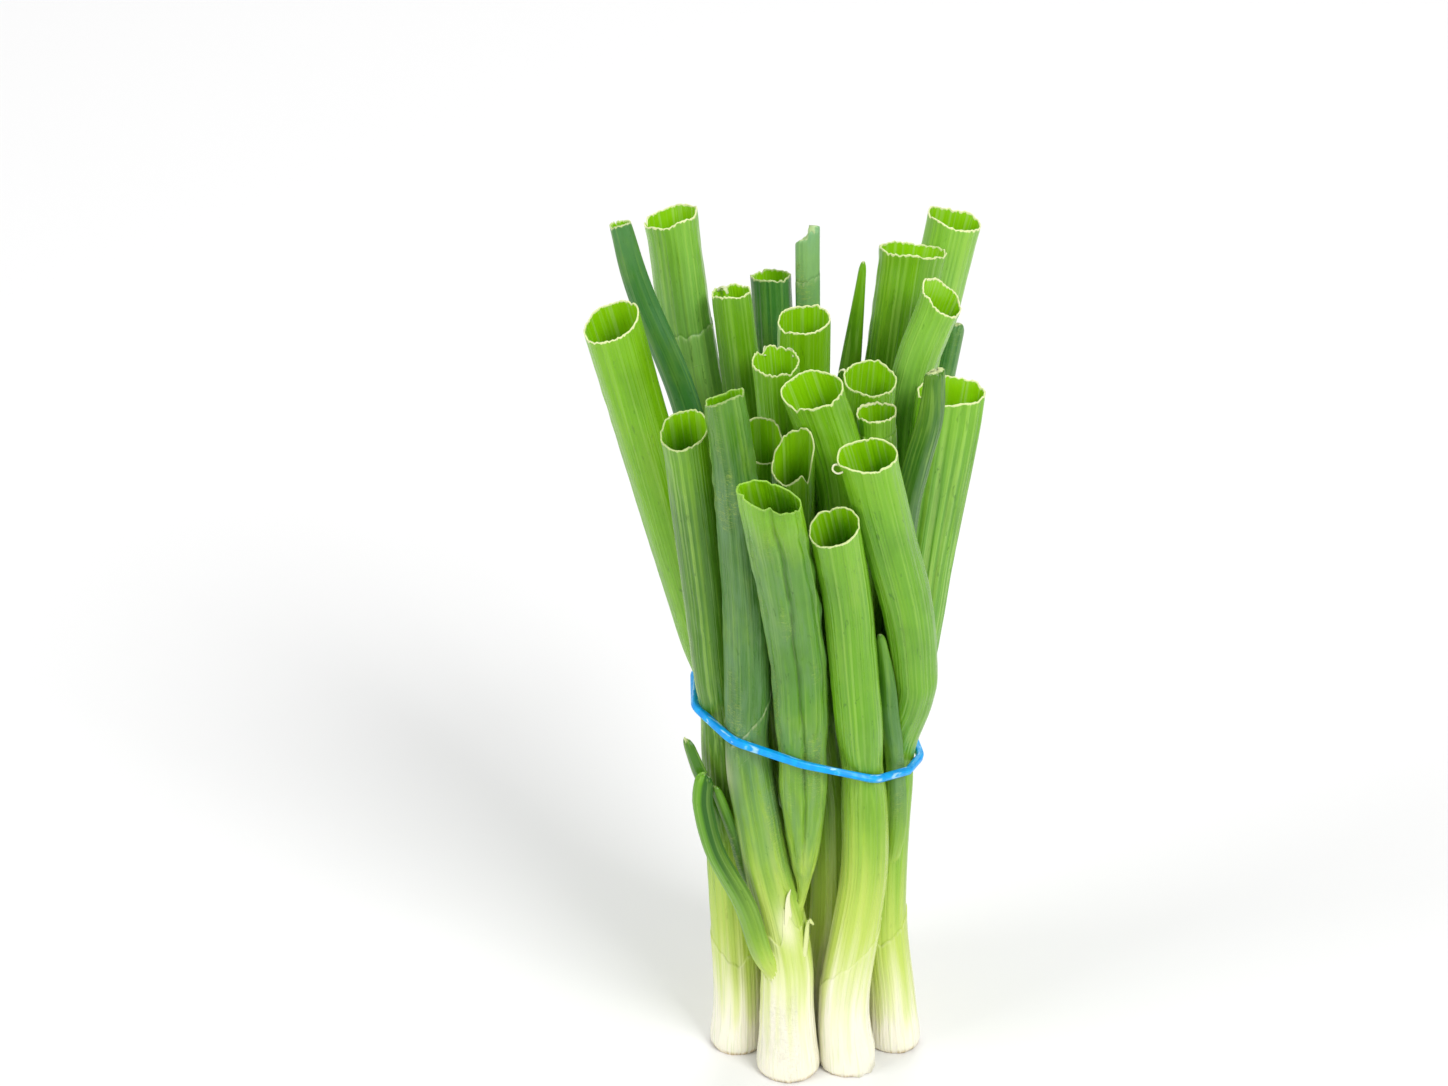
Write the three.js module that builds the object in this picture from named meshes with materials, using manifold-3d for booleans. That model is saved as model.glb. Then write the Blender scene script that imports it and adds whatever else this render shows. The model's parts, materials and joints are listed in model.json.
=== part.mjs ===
// A bunch of spring onions held by one rubber band, standing on its cut root ends.
// Millimetres, +Z up. The origin is on the ground, under the middle of the bunch's box.
// Each onion is one grown piece: a white shank that runs on into its hollow green leaves,
// which are cut off at the top and stand open. The band is a separate closed loop.
import * as THREE from "three";
import { mergeVertices } from "three/addons/utils/BufferGeometryUtils.js";
import Module from "manifold-3d";

const wasm = await Module();
wasm.setup();

// Driving dimensions.
const BUNCH_PLACE = [8.5, 7, 0];    // moves the bunch so that the origin is under its middle
const SIDES = 10;                   // facets round a shank or a leaf
const BLADE_SIDES = 6;              // facets round a flat blade
const STEP = 5;                     // spacing of the places along a shoot
const RING_EVERY = 3;               // a finished tube has a ring at every third place
const WALL = 0.95;                  // thickness of a leaf's skin
const HOLLOW = 68;                  // how far a leaf is open below its cut
const PAST = 1;                     // a hollow is cut this far past the cut end
const ROOT_SHARE = 0.6;             // width of a side leaf's root, as a share of its parent's
const THIN = 1.7;                   // a leaf with less half thickness than this is a flat blade

// The rubber band.
const BAND_HEIGHT = 103;            // height of its middle line over the bunch's axis
const BAND_SLOPE = -0.28;           // it sits higher on the left
const BAND_THICKNESS = 2.2;
const BAND_SQUEEZE = 0.12;          // share of a shank's width that the band takes away
const BAND_REACH = 8;               // how far up and down that squeeze is felt
const BAND_STEPS = 56;
const BAND_SIDES = 8;

// How the shoots settle against each other.
const GAP = 0.45;                   // clear space between two onions
const BAND_GAP = 0.8;               // clear space between the band and the shoots
const ROUNDS = 220;
const STIFFNESS = 0.25;             // how far a push spreads along a shoot each round
const LAST_ROUNDS = 60;             // rounds in which the shoots hardly smooth themselves
const LAST_STIFFNESS = 0.02;
const NEAR = 40;                    // places further apart than this never meet
const WINDOW = 3.6;                 // places this close along a shoot can touch
const FREE = 30;                    // a side leaf is its own above this height over its root
const TIED = 25;                    // stretch over which a side leaf follows its parent

// Every onion has a list of shoots. The first is the shank with its main leaf, the others are
// side leaves, which leave the middle of the first at the height "root". A row is a place on
// the centre line: x, y, z, half the width and half the thickness. The flat side of a leaf looks
// to "face", degrees from +X. "slant" tips the cut end over, along its width and thickness.
const ONIONS = {
  onion_front_left: [
    { face: -110, slant: [0.35, 0.1], rows: [
      [-6.5, -20.3, 0, 8.8, 8.8], [-7, -20, 20, 7.5, 7.5], [-7.5, -20, 40, 7.2, 7],
      [-14, -19.5, 75, 6.5, 6.3], [-18.5, -18.5, 104, 6.4, 6], [-18.5, -27, 146, 6.3, 5.4],
      [-22, -40, 194, 5.8, 4.8], [-25, -48, 221, 5.5, 4.6]] },
    { face: -95, root: 38, slant: [0.3, -0.2], rows: [
      [-3.6, -22, 58, 2, 2], [-3.6, -22, 68, 3.8, 3.4], [-3.6, -22, 79, 5, 4.4],
      [-3.7, -22.5, 91, 6.4, 4.8], [-3.8, -22.8, 102, 7.3, 4.8],
      [-4.6, -28, 132, 7.5, 5], [-8, -46, 174, 7.8, 4.8], [-11.4, -61, 200, 7.8, 4.6]] },
    { face: -110, root: 26, rows: [
      [-14, -27, 41, 3.4, 1.8], [-19.2, -26.5, 58, 3.4, 1.5], [-27.2, -24, 74, 3.1, 1.3],
      [-30.3, -21, 88, 3, 1.2], [-29.2, -19.8, 96, 2.5, 1]] },
    { face: -110, root: 50, rows: [
      [-18.5, -20.5, 63, 1.7, 0.9], [-22.3, -20, 76, 1.8, 0.9],
      [-25.9, -19.5, 86, 1.7, 0.9], [-28, -19.4, 91.5, 1.5, 0.8]] }],
  onion_front_right: [
    { face: -95, slant: [0.25, -0.1], rows: [
      [10.3, -18.3, 0, 7.9, 7.9], [9, -18.3, 24, 6.9, 6.9], [14.5, -18, 66, 6.5, 6.5],
      [13.5, -18.5, 100, 6.4, 6], [8, -31, 148, 6.5, 5.4], [0.2, -49.5, 186, 6.5, 5.4]] },
    { face: -90, root: 84, slant: [-0.1, -0.3], rows: [
      [11, -17, 115, 5.6, 5], [9, -19, 150, 6.6, 5.8],
      [5.5, -22, 185, 7.6, 6.2], [-2.6, -25, 212.5, 7.8, 6.4]] }],
  onion_right_front: [
    { face: -75, slant: [-0.2, -0.2], rows: [
      [23.7, -7.5, 0, 7.4, 7.4], [22, -7.3, 20, 6.7, 6.7], [19.3, -6.7, 45, 6.5, 6.5],
      [19.5, -7.5, 96, 6.3, 6.2], [21.8, -17, 124, 6.3, 5.6], [20, -29, 155, 6.8, 5.4],
      [9.8, -48, 205, 7.4, 5.4]] },
    { face: -80, root: 84, slant: [0, -0.6], rows: [
      [22.5, -6, 115, 6.2, 4.8], [25, -8, 146, 7.6, 4.2],
      [31, -11, 189, 9, 3.8], [33, -12, 206, 9, 3.8]] },
    { face: -80, root: 90, rows: [
      [22.3, -16, 130, 3.4, 2.8], [23, -22, 172, 3.7, 2.6],
      [25, -25.5, 190, 3.7, 2.3], [28, -28.5, 206, 3.4, 2], [28.6, -30, 220, 2.6, 1.5]] },
    { face: -95, root: 50, rows: [
      [21.9, -14, 76, 3, 1], [21.5, -16, 106, 2.8, 0.8],
      [19.2, -21, 124, 2.5, 0.7], [16, -27, 144, 1.2, 0.6]] }],
  onion_left_front: [
    { face: -115, slant: [0.2, -0.4], rows: [
      [-21.3, -8, 0, 7.5, 7.5], [-21, -8, 21, 6.8, 6.8], [-23, -8, 60, 6.5, 6.5],
      [-24.5, -7, 98, 6.2, 6.2], [-28, -17, 138, 6.2, 5.5], [-31.5, -25, 172, 6.5, 5.4],
      [-35, -35, 206, 6.5, 5.4]] },
    { face: -120, root: 60, slant: [0.2, -0.3], rows: [
      [-24, 4, 98, 5.6, 5.6], [-31, 2, 130, 7, 6.2],
      [-40, -3, 167, 7.6, 6.4], [-54, -10, 225, 8.4, 6.6]] },
    { face: -120, root: 58, rows: [
      [-26.8, -15, 82, 2.6, 1], [-31.6, -15, 93, 2.4, 0.8],
      [-35.3, -13, 103, 1.6, 0.7]] }],
  onion_centre_front: [
    { face: -100, slant: [0.3, -1.3], rows: [
      [2.5, -5, 0, 7, 7], [3, -5, 20, 6.4, 6.4], [4.5, -7, 50, 5.8, 5.8],
      [2, -8.5, 100, 5.5, 5.2], [0, -13, 130, 5.4, 5],
      [-4.6, -22, 165, 5.4, 4.8], [-5.6, -31, 197, 5.6, 4.6]] },
    { face: -100, root: 48, slant: [0, -0.9], rows: [
      [-6, -5, 84, 5, 4.8], [-10.5, -4.5, 102, 5, 4.8],
      [-12.5, -9, 135, 5.6, 5], [-15, -18, 195, 5.5, 4.8]] }],
  onion_left_back: [
    { face: -135, slant: [0.1, -0.2], rows: [
      [-15, 7, 0, 7.4, 7.4], [-15, 7.5, 25, 6.7, 6.7], [-15, 12.5, 100, 5.7, 5.7],
      [-19, 15.5, 130, 6.6, 6], [-33, 21, 197, 7.7, 6.4], [-39, 25, 240, 7.7, 6.4]] },
    { face: -100, root: 84, rows: [
      [-20, 9.5, 120, 3.6, 2.8], [-27, 9, 152, 4, 2.6],
      [-35, 10, 192, 4, 2.4], [-47, 10, 225, 3.6, 2.3], [-52, 10, 244, 2.9, 2.1]] }],
  onion_centre_back: [
    { face: -95, slant: [0, -0.3], rows: [
      [0, 11, 0, 7.4, 7.4], [-0.5, 10.5, 25, 6.7, 6.7], [-3.5, 7, 100, 5.6, 5.6],
      [-5.5, 4, 132, 5.8, 5.4], [-12, -5, 212, 6, 5.2]] },
    { face: -110, root: 84, rows: [
      [-9, 9, 122, 5, 4.6], [-16, 10, 165, 5.4, 4.8],
      [-23, 12, 224, 5.5, 4.8]] }],
  onion_right_back: [
    { face: -85, slant: [-0.1, -0.3], rows: [
      [16.5, 6.5, 0, 7.4, 7.4], [15.5, 6, 25, 6.7, 6.7], [7, 3.5, 100, 5.4, 5.4],
      [8.5, 0, 132, 6, 5.6], [13, -8, 208, 7.2, 6]] },
    { face: -60, root: 44, slant: [-0.25, -0.5], rows: [
      [18, 7, 98, 5.6, 5.6], [21, 6, 135, 5.8, 5.4],
      [23.5, 4, 196, 5.9, 5.2], [32, 6, 225, 6, 5.2]] },
    { face: -80, root: 84, rows: [
      [14.5, -4, 118, 4, 3.8], [15.5, -11, 150, 4.8, 4.2],
      [13, -19, 203, 4.9, 4.2]] },
    { face: -60, root: 84, rows: [
      [17, 8, 104, 2.8, 2.2], [25, 14, 140, 2.8, 1.6], [37, 16, 213, 2.8, 1.3]] }],
  onion_back_left: [
    { face: -90, slant: [0.1, -0.2], rows: [
      [-9, 24, 0, 7.4, 7.4], [-8.5, 24, 25, 6.7, 6.7], [-4, 18.5, 100, 5.7, 5.7],
      [-3.2, 17.5, 132, 6.3, 5.8], [-4, 10, 217, 7, 6]] },
    { face: -100, root: 84, rows: [
      [-7, 26, 125, 5, 4.6], [-12, 35, 219, 5.5, 5]] },
    { face: -90, root: 88, rows: [
      [-2, 26, 132, 3, 1.6], [-3, 30, 233, 3.3, 1.3]] }],
  onion_back_right: [
    { face: -70, slant: [0, 0.05], rows: [
      [9, 24.5, 0, 7.4, 7.4], [9, 24, 25, 6.7, 6.7], [8.5, 16.5, 100, 5.7, 5.7],
      [12, 20, 132, 6.6, 6.2], [18, 25, 178, 8, 6.8], [25, 30, 229, 9, 7.2]] },
    { face: -50, root: 84, slant: [0, -0.2], rows: [
      [16, 27, 130, 6, 5.6], [25, 34.5, 180, 7.2, 6.2],
      [36, 42, 232, 8, 6.6]] },
    { face: -90, root: 86, rows: [
      [7, 25, 130, 3.4, 2.2], [10, 26, 180, 3.6, 1.5],
      [14, 25, 227, 0.9, 0.6]] }],
};

const COLOURS = {
  shank: { color: 0xcfdca0, roughness: 0.45, metalness: 0 },
  band: { color: 0x1f8fe0, roughness: 0.4, metalness: 0 },
};

// The height of the band's middle line at a place across the bunch.
function bandHeight(x) {
  return BAND_HEIGHT + BAND_SLOPE * x;
}

// A smooth curve through rows of numbers, as a uniform Catmull-Rom spline.
function between(rows, i, u) {
  const last = rows.length - 1;
  const p1 = rows[i];
  const p2 = rows[i + 1];
  const p0 = i > 0 ? rows[i - 1] : p1.map((v, k) => 2 * v - p2[k]);
  const p3 = i + 2 <= last ? rows[i + 2] : p2.map((v, k) => 2 * v - p1[k]);
  return p1.map((v, k) => v + 0.5 * u * (p2[k] - p0[k]
    + u * (2 * p0[k] - 5 * v + 4 * p2[k] - p3[k] + u * (3 * (v - p2[k]) + p3[k] - p0[k]))));
}

// The places along a shoot, about STEP apart, as { c: centre, a: half width, b: half thickness }.
function placesOf(rows) {
  const places = [];
  for (let i = 0; i < rows.length - 1; i++) {
    const span = Math.hypot(...[0, 1, 2].map((k) => rows[i + 1][k] - rows[i][k]));
    const count = Math.max(1, Math.round(span / STEP));
    for (let j = 0; j < count; j++) {
      places.push(between(rows, i, j / count));
    }
  }
  places.push(rows[rows.length - 1]);
  return places.map(([x, y, z, a, b]) => {
    const squeeze = 1 - BAND_SQUEEZE * Math.exp(-(((z - bandHeight(x)) / BAND_REACH) ** 2));
    return { c: new THREE.Vector3(x, y, z), a: a * squeeze, b: b * squeeze };
  });
}

// At every place: t along the shoot, n the way its flat side looks, w across its width.
function setDirections(shoot) {
  const { places } = shoot;
  const look = new THREE.Vector3(Math.cos(shoot.face), Math.sin(shoot.face), 0);
  places.forEach((p, k) => {
    const before = places[Math.max(k - 1, 0)].c;
    const after = places[Math.min(k + 1, places.length - 1)].c;
    p.t = !shoot.parent && k === 0
      ? new THREE.Vector3(0, 0, 1)
      : new THREE.Vector3().subVectors(after, before).normalize();
    p.n = look.clone().addScaledVector(p.t, -look.dot(p.t)).normalize();
    p.w = new THREE.Vector3().crossVectors(p.t, p.n);
  });
}

// How far a section reaches from its centre in a direction.
function reach(p, u) {
  return Math.hypot(p.a * u.dot(p.w), p.b * u.dot(p.n));
}

// Two places can touch unless they are the fused stretch of one onion.
function canTouch(shootA, p, shootB, q) {
  if (p.c.distanceTo(q.c) > NEAR) {
    return false;
  }
  if (shootA.onion !== shootB.onion) {
    return true;
  }
  const free = Math.max(shootA.root, shootB.root) + FREE;
  return p.c.z > free && q.c.z > free;
}

function listPairs(shoots) {
  const pairs = [];
  shoots.forEach((shootA, i) => shoots.slice(i + 1).forEach((shootB) => {
    for (const p of shootA.places) {
      for (const q of shootB.places) {
        if (canTouch(shootA, p, shootB, q)) {
          pairs.push([p, q]);
        }
      }
    }
  }));
  return pairs;
}

// Pushes two places apart sideways, half the missing distance each.
function pushApart(p, q) {
  const t = p.t.clone().add(q.t).normalize();
  const d = p.c.clone().sub(q.c);
  const along = d.dot(t);
  if (Math.abs(along) > WINDOW) {
    return;
  }
  d.addScaledVector(t, -along);
  const far = Math.max(d.length(), 0.01);
  const u = d.divideScalar(far);
  const missing = reach(p, u) + reach(q, u) + GAP - far;
  if (missing <= 0) {
    return;
  }
  for (const [place, sign] of [[p, 0.5], [q, -0.5]]) {
    place.push.x += sign * missing * u.x;
    place.push.y += sign * missing * u.y;
    place.count += 1;
  }
}

// Lets a shoot follow its pushes, spread along its length.
function followPushes(shoot, stiffness) {
  const { places } = shoot;
  for (const p of places) {
    p.shift.addScaledVector(p.push, 1 / Math.max(p.count, 1));
    p.push.set(0, 0, 0);
    p.count = 0;
  }
  const shifts = places.map((p) => p.shift.clone());
  places.forEach((p, k) => {
    const before = shifts[Math.max(k - 1, 0)];
    const after = shifts[Math.min(k + 1, shifts.length - 1)];
    p.shift.addScaledVector(before.clone().add(after).addScaledVector(shifts[k], -2), stiffness);
  });
  if (shoot.parent) {
    const held = shoot.parent.shift.clone().sub(places[0].shift);
    places.slice(0, shoot.tied).forEach((p, k) => {
      p.shift.addScaledVector(held, 1 - k / shoot.tied);
    });
  }
  for (const p of places) {
    p.c.copy(p.start).add(p.shift);
  }
}

function settle(shoots) {
  shoots.forEach(setDirections);
  const pairs = listPairs(shoots);
  for (let round = 0; round < ROUNDS; round++) {
    pairs.forEach(([p, q]) => pushApart(p, q));
    const stiffness = round < ROUNDS - LAST_ROUNDS ? STIFFNESS : LAST_STIFFNESS;
    shoots.forEach((shoot) => followPushes(shoot, stiffness));
  }
  shoots.forEach(setDirections);
}

function nearestPlace(places, height) {
  return places.reduce((best, p) => (
    Math.abs(p.c.z - height) < Math.abs(best.c.z - height) ? p : best));
}

// A side leaf starts as a slim core inside its parent.
function rootRow({ c, a, b }) {
  return [c.x, c.y, c.z, a * ROOT_SHARE, b * ROOT_SHARE];
}

// All shoots of the bunch, settled against each other.
function makeShoots() {
  const shoots = [];
  for (const [onion, list] of Object.entries(ONIONS)) {
    let main = null;
    for (const { face, root = 0, slant = [0, 0], rows } of list) {
      const parent = main && nearestPlace(main.places, root);
      const places = placesOf(parent ? [rootRow(parent), ...rows] : rows);
      for (const p of places) {
        Object.assign(p, { start: p.c.clone(), shift: new THREE.Vector3(),
          push: new THREE.Vector3(), count: 0 });
      }
      const shoot = { onion, parent, root, slant, places,
        face: THREE.MathUtils.degToRad(face), tied: Math.round(TIED / STEP) };
      main = main || shoot;
      shoots.push(shoot);
    }
  }
  settle(shoots);
  return shoots;
}

function solidOf(geometry) {
  geometry.deleteAttribute("normal");
  geometry.deleteAttribute("uv");
  const merged = mergeVertices(geometry, 1e-4);
  return new wasm.Manifold(new wasm.Mesh({ numProp: 3,
    vertProperties: Float32Array.from(merged.attributes.position.array),
    triVerts: Uint32Array.from(merged.index.array) }));
}

function geometryOf(solid) {
  const mesh = solid.getMesh();
  const geometry = new THREE.BufferGeometry();
  geometry.setAttribute("position", new THREE.BufferAttribute(mesh.vertProperties, 3));
  geometry.setIndex(new THREE.BufferAttribute(mesh.triVerts, 1));
  geometry.computeVertexNormals();
  return geometry;
}

// A tube through some places of a shoot: a cylinder whose rings are laid on them.
// "skin" makes it thinner, and "past" makes it reach over the cut end.
function tube(shoot, places, sides, skin, past) {
  const geometry = new THREE.CylinderGeometry(1, 1, 1, sides, places.length - 1);
  const position = geometry.attributes.position;
  const last = places.length - 1;
  for (let i = 0; i < position.count; i++) {
    const k = Math.round((position.getY(i) + 0.5) * last);
    const p = places[k];
    const across = position.getX(i) * (p.a - skin);
    const out = position.getZ(i) * (p.b - skin);
    const point = p.c.clone().addScaledVector(p.w, across).addScaledVector(p.n, out);
    if (k === last) {
      point.addScaledVector(p.t, past + across * shoot.slant[0] + out * shoot.slant[1]);
    }
    position.setXYZ(i, point.x, point.y, point.z);
  }
  return solidOf(geometry);
}

// Every RING_EVERYth place, with both ends.
function thinned(places) {
  const gaps = Math.max(1, Math.round((places.length - 1) / RING_EVERY));
  return Array.from({ length: gaps + 1 }, (_, k) => (
    places[Math.round((k * (places.length - 1)) / gaps)]));
}

// One onion: its shoots joined, then each leaf hollowed from its cut end down.
function onionSolid(shoots) {
  const solids = [];
  const hollows = [];
  for (const shoot of shoots) {
    const rings = thinned(shoot.places);
    const tip = shoot.places[shoot.places.length - 1];
    const flat = tip.b < THIN;
    solids.push(tube(shoot, rings, flat ? BLADE_SIDES : SIDES, 0, 0));
    if (!flat) {
      const upper = rings.filter((p) => p.c.distanceTo(tip.c) < HOLLOW);
      hollows.push(tube(shoot, upper, SIDES, WALL, PAST));
    }
  }
  const grown = solids.reduce((whole, solid) => whole.add(solid));
  return hollows.reduce((whole, hollow) => whole.subtract(hollow), grown);
}

// The sections in which the finished tubes pass the band's plane.
function sectionsAtBand(shoots) {
  const over = (p) => p.c.z - bandHeight(p.c.x);
  return shoots.flatMap(({ places }) => {
    const rings = thinned(places);
    const k = rings.findIndex((p, i) => i > 0 && over(p) >= 0 && over(rings[i - 1]) < 0);
    if (k < 0) {
      return [];
    }
    const low = rings[k - 1];
    const high = rings[k];
    const share = over(low) / (over(low) - over(high));
    const mix = THREE.MathUtils.lerp;
    return [{ ...low, c: low.c.clone().lerp(high.c, share),
      a: mix(low.a, high.a, share), b: mix(low.b, high.b, share) }];
  });
}

// The band: stretched round the outermost shoots, as a loop of round section.
function bandGeometry(shoots) {
  const around = sectionsAtBand(shoots);
  const radius = BAND_THICKNESS / 2;
  const middle = Array.from({ length: BAND_STEPS }, (_, k) => {
    const angle = (k / BAND_STEPS) * 2 * Math.PI;
    const u = new THREE.Vector3(Math.cos(angle), Math.sin(angle), 0);
    const outermost = around.reduce((best, p) => (
      p.c.dot(u) + reach(p, u) > best.c.dot(u) + reach(best, u) ? p : best));
    const h = reach(outermost, u);
    const point = outermost.c.clone()
      .addScaledVector(outermost.w, (outermost.a ** 2 * u.dot(outermost.w)) / h)
      .addScaledVector(outermost.n, (outermost.b ** 2 * u.dot(outermost.n)) / h)
      .addScaledVector(u, radius + BAND_GAP);
    point.z = bandHeight(point.x);
    return { point, u };
  });
  const geometry = new THREE.TorusGeometry(1, 0.5, BAND_SIDES, BAND_STEPS);
  const position = geometry.attributes.position;
  for (let i = 0; i < position.count; i++) {
    const step = i % (BAND_STEPS + 1);
    const side = Math.floor(i / (BAND_STEPS + 1));
    const angle = (side / BAND_SIDES) * 2 * Math.PI;
    const { point, u } = middle[step % BAND_STEPS];
    const place = point.clone().addScaledVector(u, radius * Math.cos(angle));
    position.setXYZ(i, place.x, place.y, place.z + radius * Math.sin(angle));
  }
  return geometryOf(solidOf(geometry));
}

const bunch = new THREE.Group();
bunch.position.set(...BUNCH_PLACE);

const shoots = makeShoots();
for (const name of Object.keys(ONIONS)) {
  const own = shoots.filter((shoot) => shoot.onion === name);
  const mesh = new THREE.Mesh(geometryOf(onionSolid(own)),
    new THREE.MeshStandardMaterial(COLOURS.shank));
  mesh.name = name;
  bunch.add(mesh);
}

const band = new THREE.Mesh(bandGeometry(shoots), new THREE.MeshStandardMaterial(COLOURS.band));
band.name = "rubber_band";
bunch.add(band);

export default bunch;
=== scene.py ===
# %% [markdown]
# # A bunch of spring onions
#
# Ten spring onions stand on their cut root ends, held together by one blue rubber band. Every onion is a
# white shank that turns green as it rises and opens into hollow leaves, which were cut off at the top. We
# first load the plain solids that fix the size of everything, then grow a finely shaped skin over each.

import json
import math
from contextlib import contextmanager

import bmesh
import bpy
import numpy as np
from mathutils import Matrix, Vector

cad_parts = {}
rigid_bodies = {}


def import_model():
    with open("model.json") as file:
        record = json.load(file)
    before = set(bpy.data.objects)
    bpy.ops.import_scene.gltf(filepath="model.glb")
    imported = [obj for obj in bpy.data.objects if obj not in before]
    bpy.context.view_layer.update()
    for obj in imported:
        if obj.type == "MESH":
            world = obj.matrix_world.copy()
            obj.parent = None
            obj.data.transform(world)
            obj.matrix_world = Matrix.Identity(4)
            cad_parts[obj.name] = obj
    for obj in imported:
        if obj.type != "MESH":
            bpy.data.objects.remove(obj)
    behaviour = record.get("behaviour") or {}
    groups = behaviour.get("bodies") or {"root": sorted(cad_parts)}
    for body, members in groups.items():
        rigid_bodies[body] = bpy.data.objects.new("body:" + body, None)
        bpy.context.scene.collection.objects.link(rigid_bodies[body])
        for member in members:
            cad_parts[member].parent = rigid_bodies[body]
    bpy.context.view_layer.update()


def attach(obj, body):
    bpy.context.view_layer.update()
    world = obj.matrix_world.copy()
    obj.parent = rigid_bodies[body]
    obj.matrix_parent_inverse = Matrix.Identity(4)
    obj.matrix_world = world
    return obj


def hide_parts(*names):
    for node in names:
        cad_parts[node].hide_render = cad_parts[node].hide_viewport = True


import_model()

# %% [markdown]
# ## Camera
#
# The bunch is seen from the front and a little above, so that you look into the cut leaves. A long lens
# keeps the shanks nearly parallel. The camera aims past the bunch's left side, as it does in the photograph.

# %% Camera
MM = 0.001
BUNCH_PLACE = np.array([8.5, 7.0, 0.0])
CAMERA_TILT = math.radians(27.0)
CAMERA_DISTANCE = 950 * MM
CAMERA_LENS = 88.0
CAMERA_AIM = Vector((-25 + BUNCH_PLACE[0], BUNCH_PLACE[1], 156)) * MM


def add_object(name, data):
    """A new object at the origin of the scene."""
    thing = bpy.data.objects.new(name, data)
    bpy.context.scene.collection.objects.link(thing)
    return thing


@contextmanager
def editing(mesh):
    """The mesh opened for the modelling operators, and written back at the end."""
    bm = bmesh.new()
    bm.from_mesh(mesh)
    yield bm
    bm.to_mesh(mesh)
    bm.free()


def make_camera():
    """A camera that looks along +Y and down."""
    data = bpy.data.cameras.new("camera")
    data.lens = CAMERA_LENS
    data.sensor_width = 36.0
    data.clip_start = 0.05
    camera = add_object("camera", data)
    back = Vector((0, -math.cos(CAMERA_TILT), math.sin(CAMERA_TILT)))
    camera.location = CAMERA_AIM + back * CAMERA_DISTANCE
    camera.rotation_euler = (math.pi / 2 - CAMERA_TILT, 0, 0)
    bpy.context.scene.camera = camera
    return camera


camera = make_camera()
print("camera at", [round(v, 3) for v in camera.location])

# %% [markdown]
# ## Light
#
# Vegetables look fresh in bright, even light: a white room, one large soft lamp on the right for a gentle
# sheen along the leaves, and a weaker one on the left. The gaps between the leaves then go dark by
# themselves.

# %% Light and floor
LAMPS = {
    "key_lamp": {"at": (1.6, -2.1, 2.4), "size": 1.4, "watts": 72.0},
    "side_lamp": {"at": (-2.2, -1.1, 1.7), "size": 1.3, "watts": 27.0},
    "back_lamp": {"at": (0.3, 2.4, 2.1), "size": 1.8, "watts": 26.0},
}
LAMP_AIM = Vector((0, 0, 0.13))
ROOM_LIGHT = 0.56
FLOOR_RADIUS = 6.0
FLOOR_GREY = (0.86, 0.86, 0.86, 1)


def make_lamp(name, at, size, watts):
    """A square soft lamp aimed at the bunch."""
    data = bpy.data.lights.new(name, "AREA")
    data.size = size
    data.energy = watts
    lamp = add_object(name, data)
    lamp.location = at
    lamp.rotation_euler = (LAMP_AIM - Vector(at)).to_track_quat("-Z", "Y").to_euler()


def make_room():
    """White light from all around."""
    world = bpy.data.worlds.new("white_room")
    world.use_nodes = True
    background = world.node_tree.nodes["Background"]
    background.inputs["Color"].default_value = (1, 1, 1, 1)
    background.inputs["Strength"].default_value = ROOM_LIGHT
    bpy.context.scene.world = world


def new_paint(name, values):
    """A material and its shader, whose sockets get these plain values."""
    paint = bpy.data.materials.new(name)
    paint.use_nodes = True
    shader = paint.node_tree.nodes["Principled BSDF"]
    for socket, value in values.items():
        shader.inputs[socket].default_value = value
    return paint, shader


def make_floor():
    """A pale round floor, far larger than the view."""
    mesh = bpy.data.meshes.new("floor")
    with editing(mesh) as bm:
        bmesh.ops.create_circle(bm, cap_ends=True, segments=64, radius=FLOOR_RADIUS)
    floor = add_object("floor", mesh)
    mesh.materials.append(new_paint("pale_floor", {"Base Color": FLOOR_GREY, "Roughness": 0.7})[0])


for lamp_name, lamp in LAMPS.items():
    make_lamp(lamp_name, **lamp)
make_room()
make_floor()
bpy.context.scene.view_settings.view_transform = "Standard"
print(len(LAMPS), "lamps and a white room")

# %% [markdown]
# ## Where every shoot runs
#
# An onion is a list of shoots: the first is the shank with its main leaf, the others are side leaves that
# come out of it at the height `root`. A shoot has the direction its flat side looks to, its look, and rows
# on its centre line: x, y, z, half the width and half the thickness, in millimetres. These rows are the same
# as in the solids. `slant` tips the cut end over, `jag` roughens it, and a tear is an angle, a depth and a
# width. `ripe` lowers the green, `pale` places a faded patch, and `sheaths` and `creases` are read below.

# %% The shoots of every onion
def leaf(face, look, rows, **more):
    """The plan of one shoot."""
    return {"face": face, "look": look, "rows": rows, **more}


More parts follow.
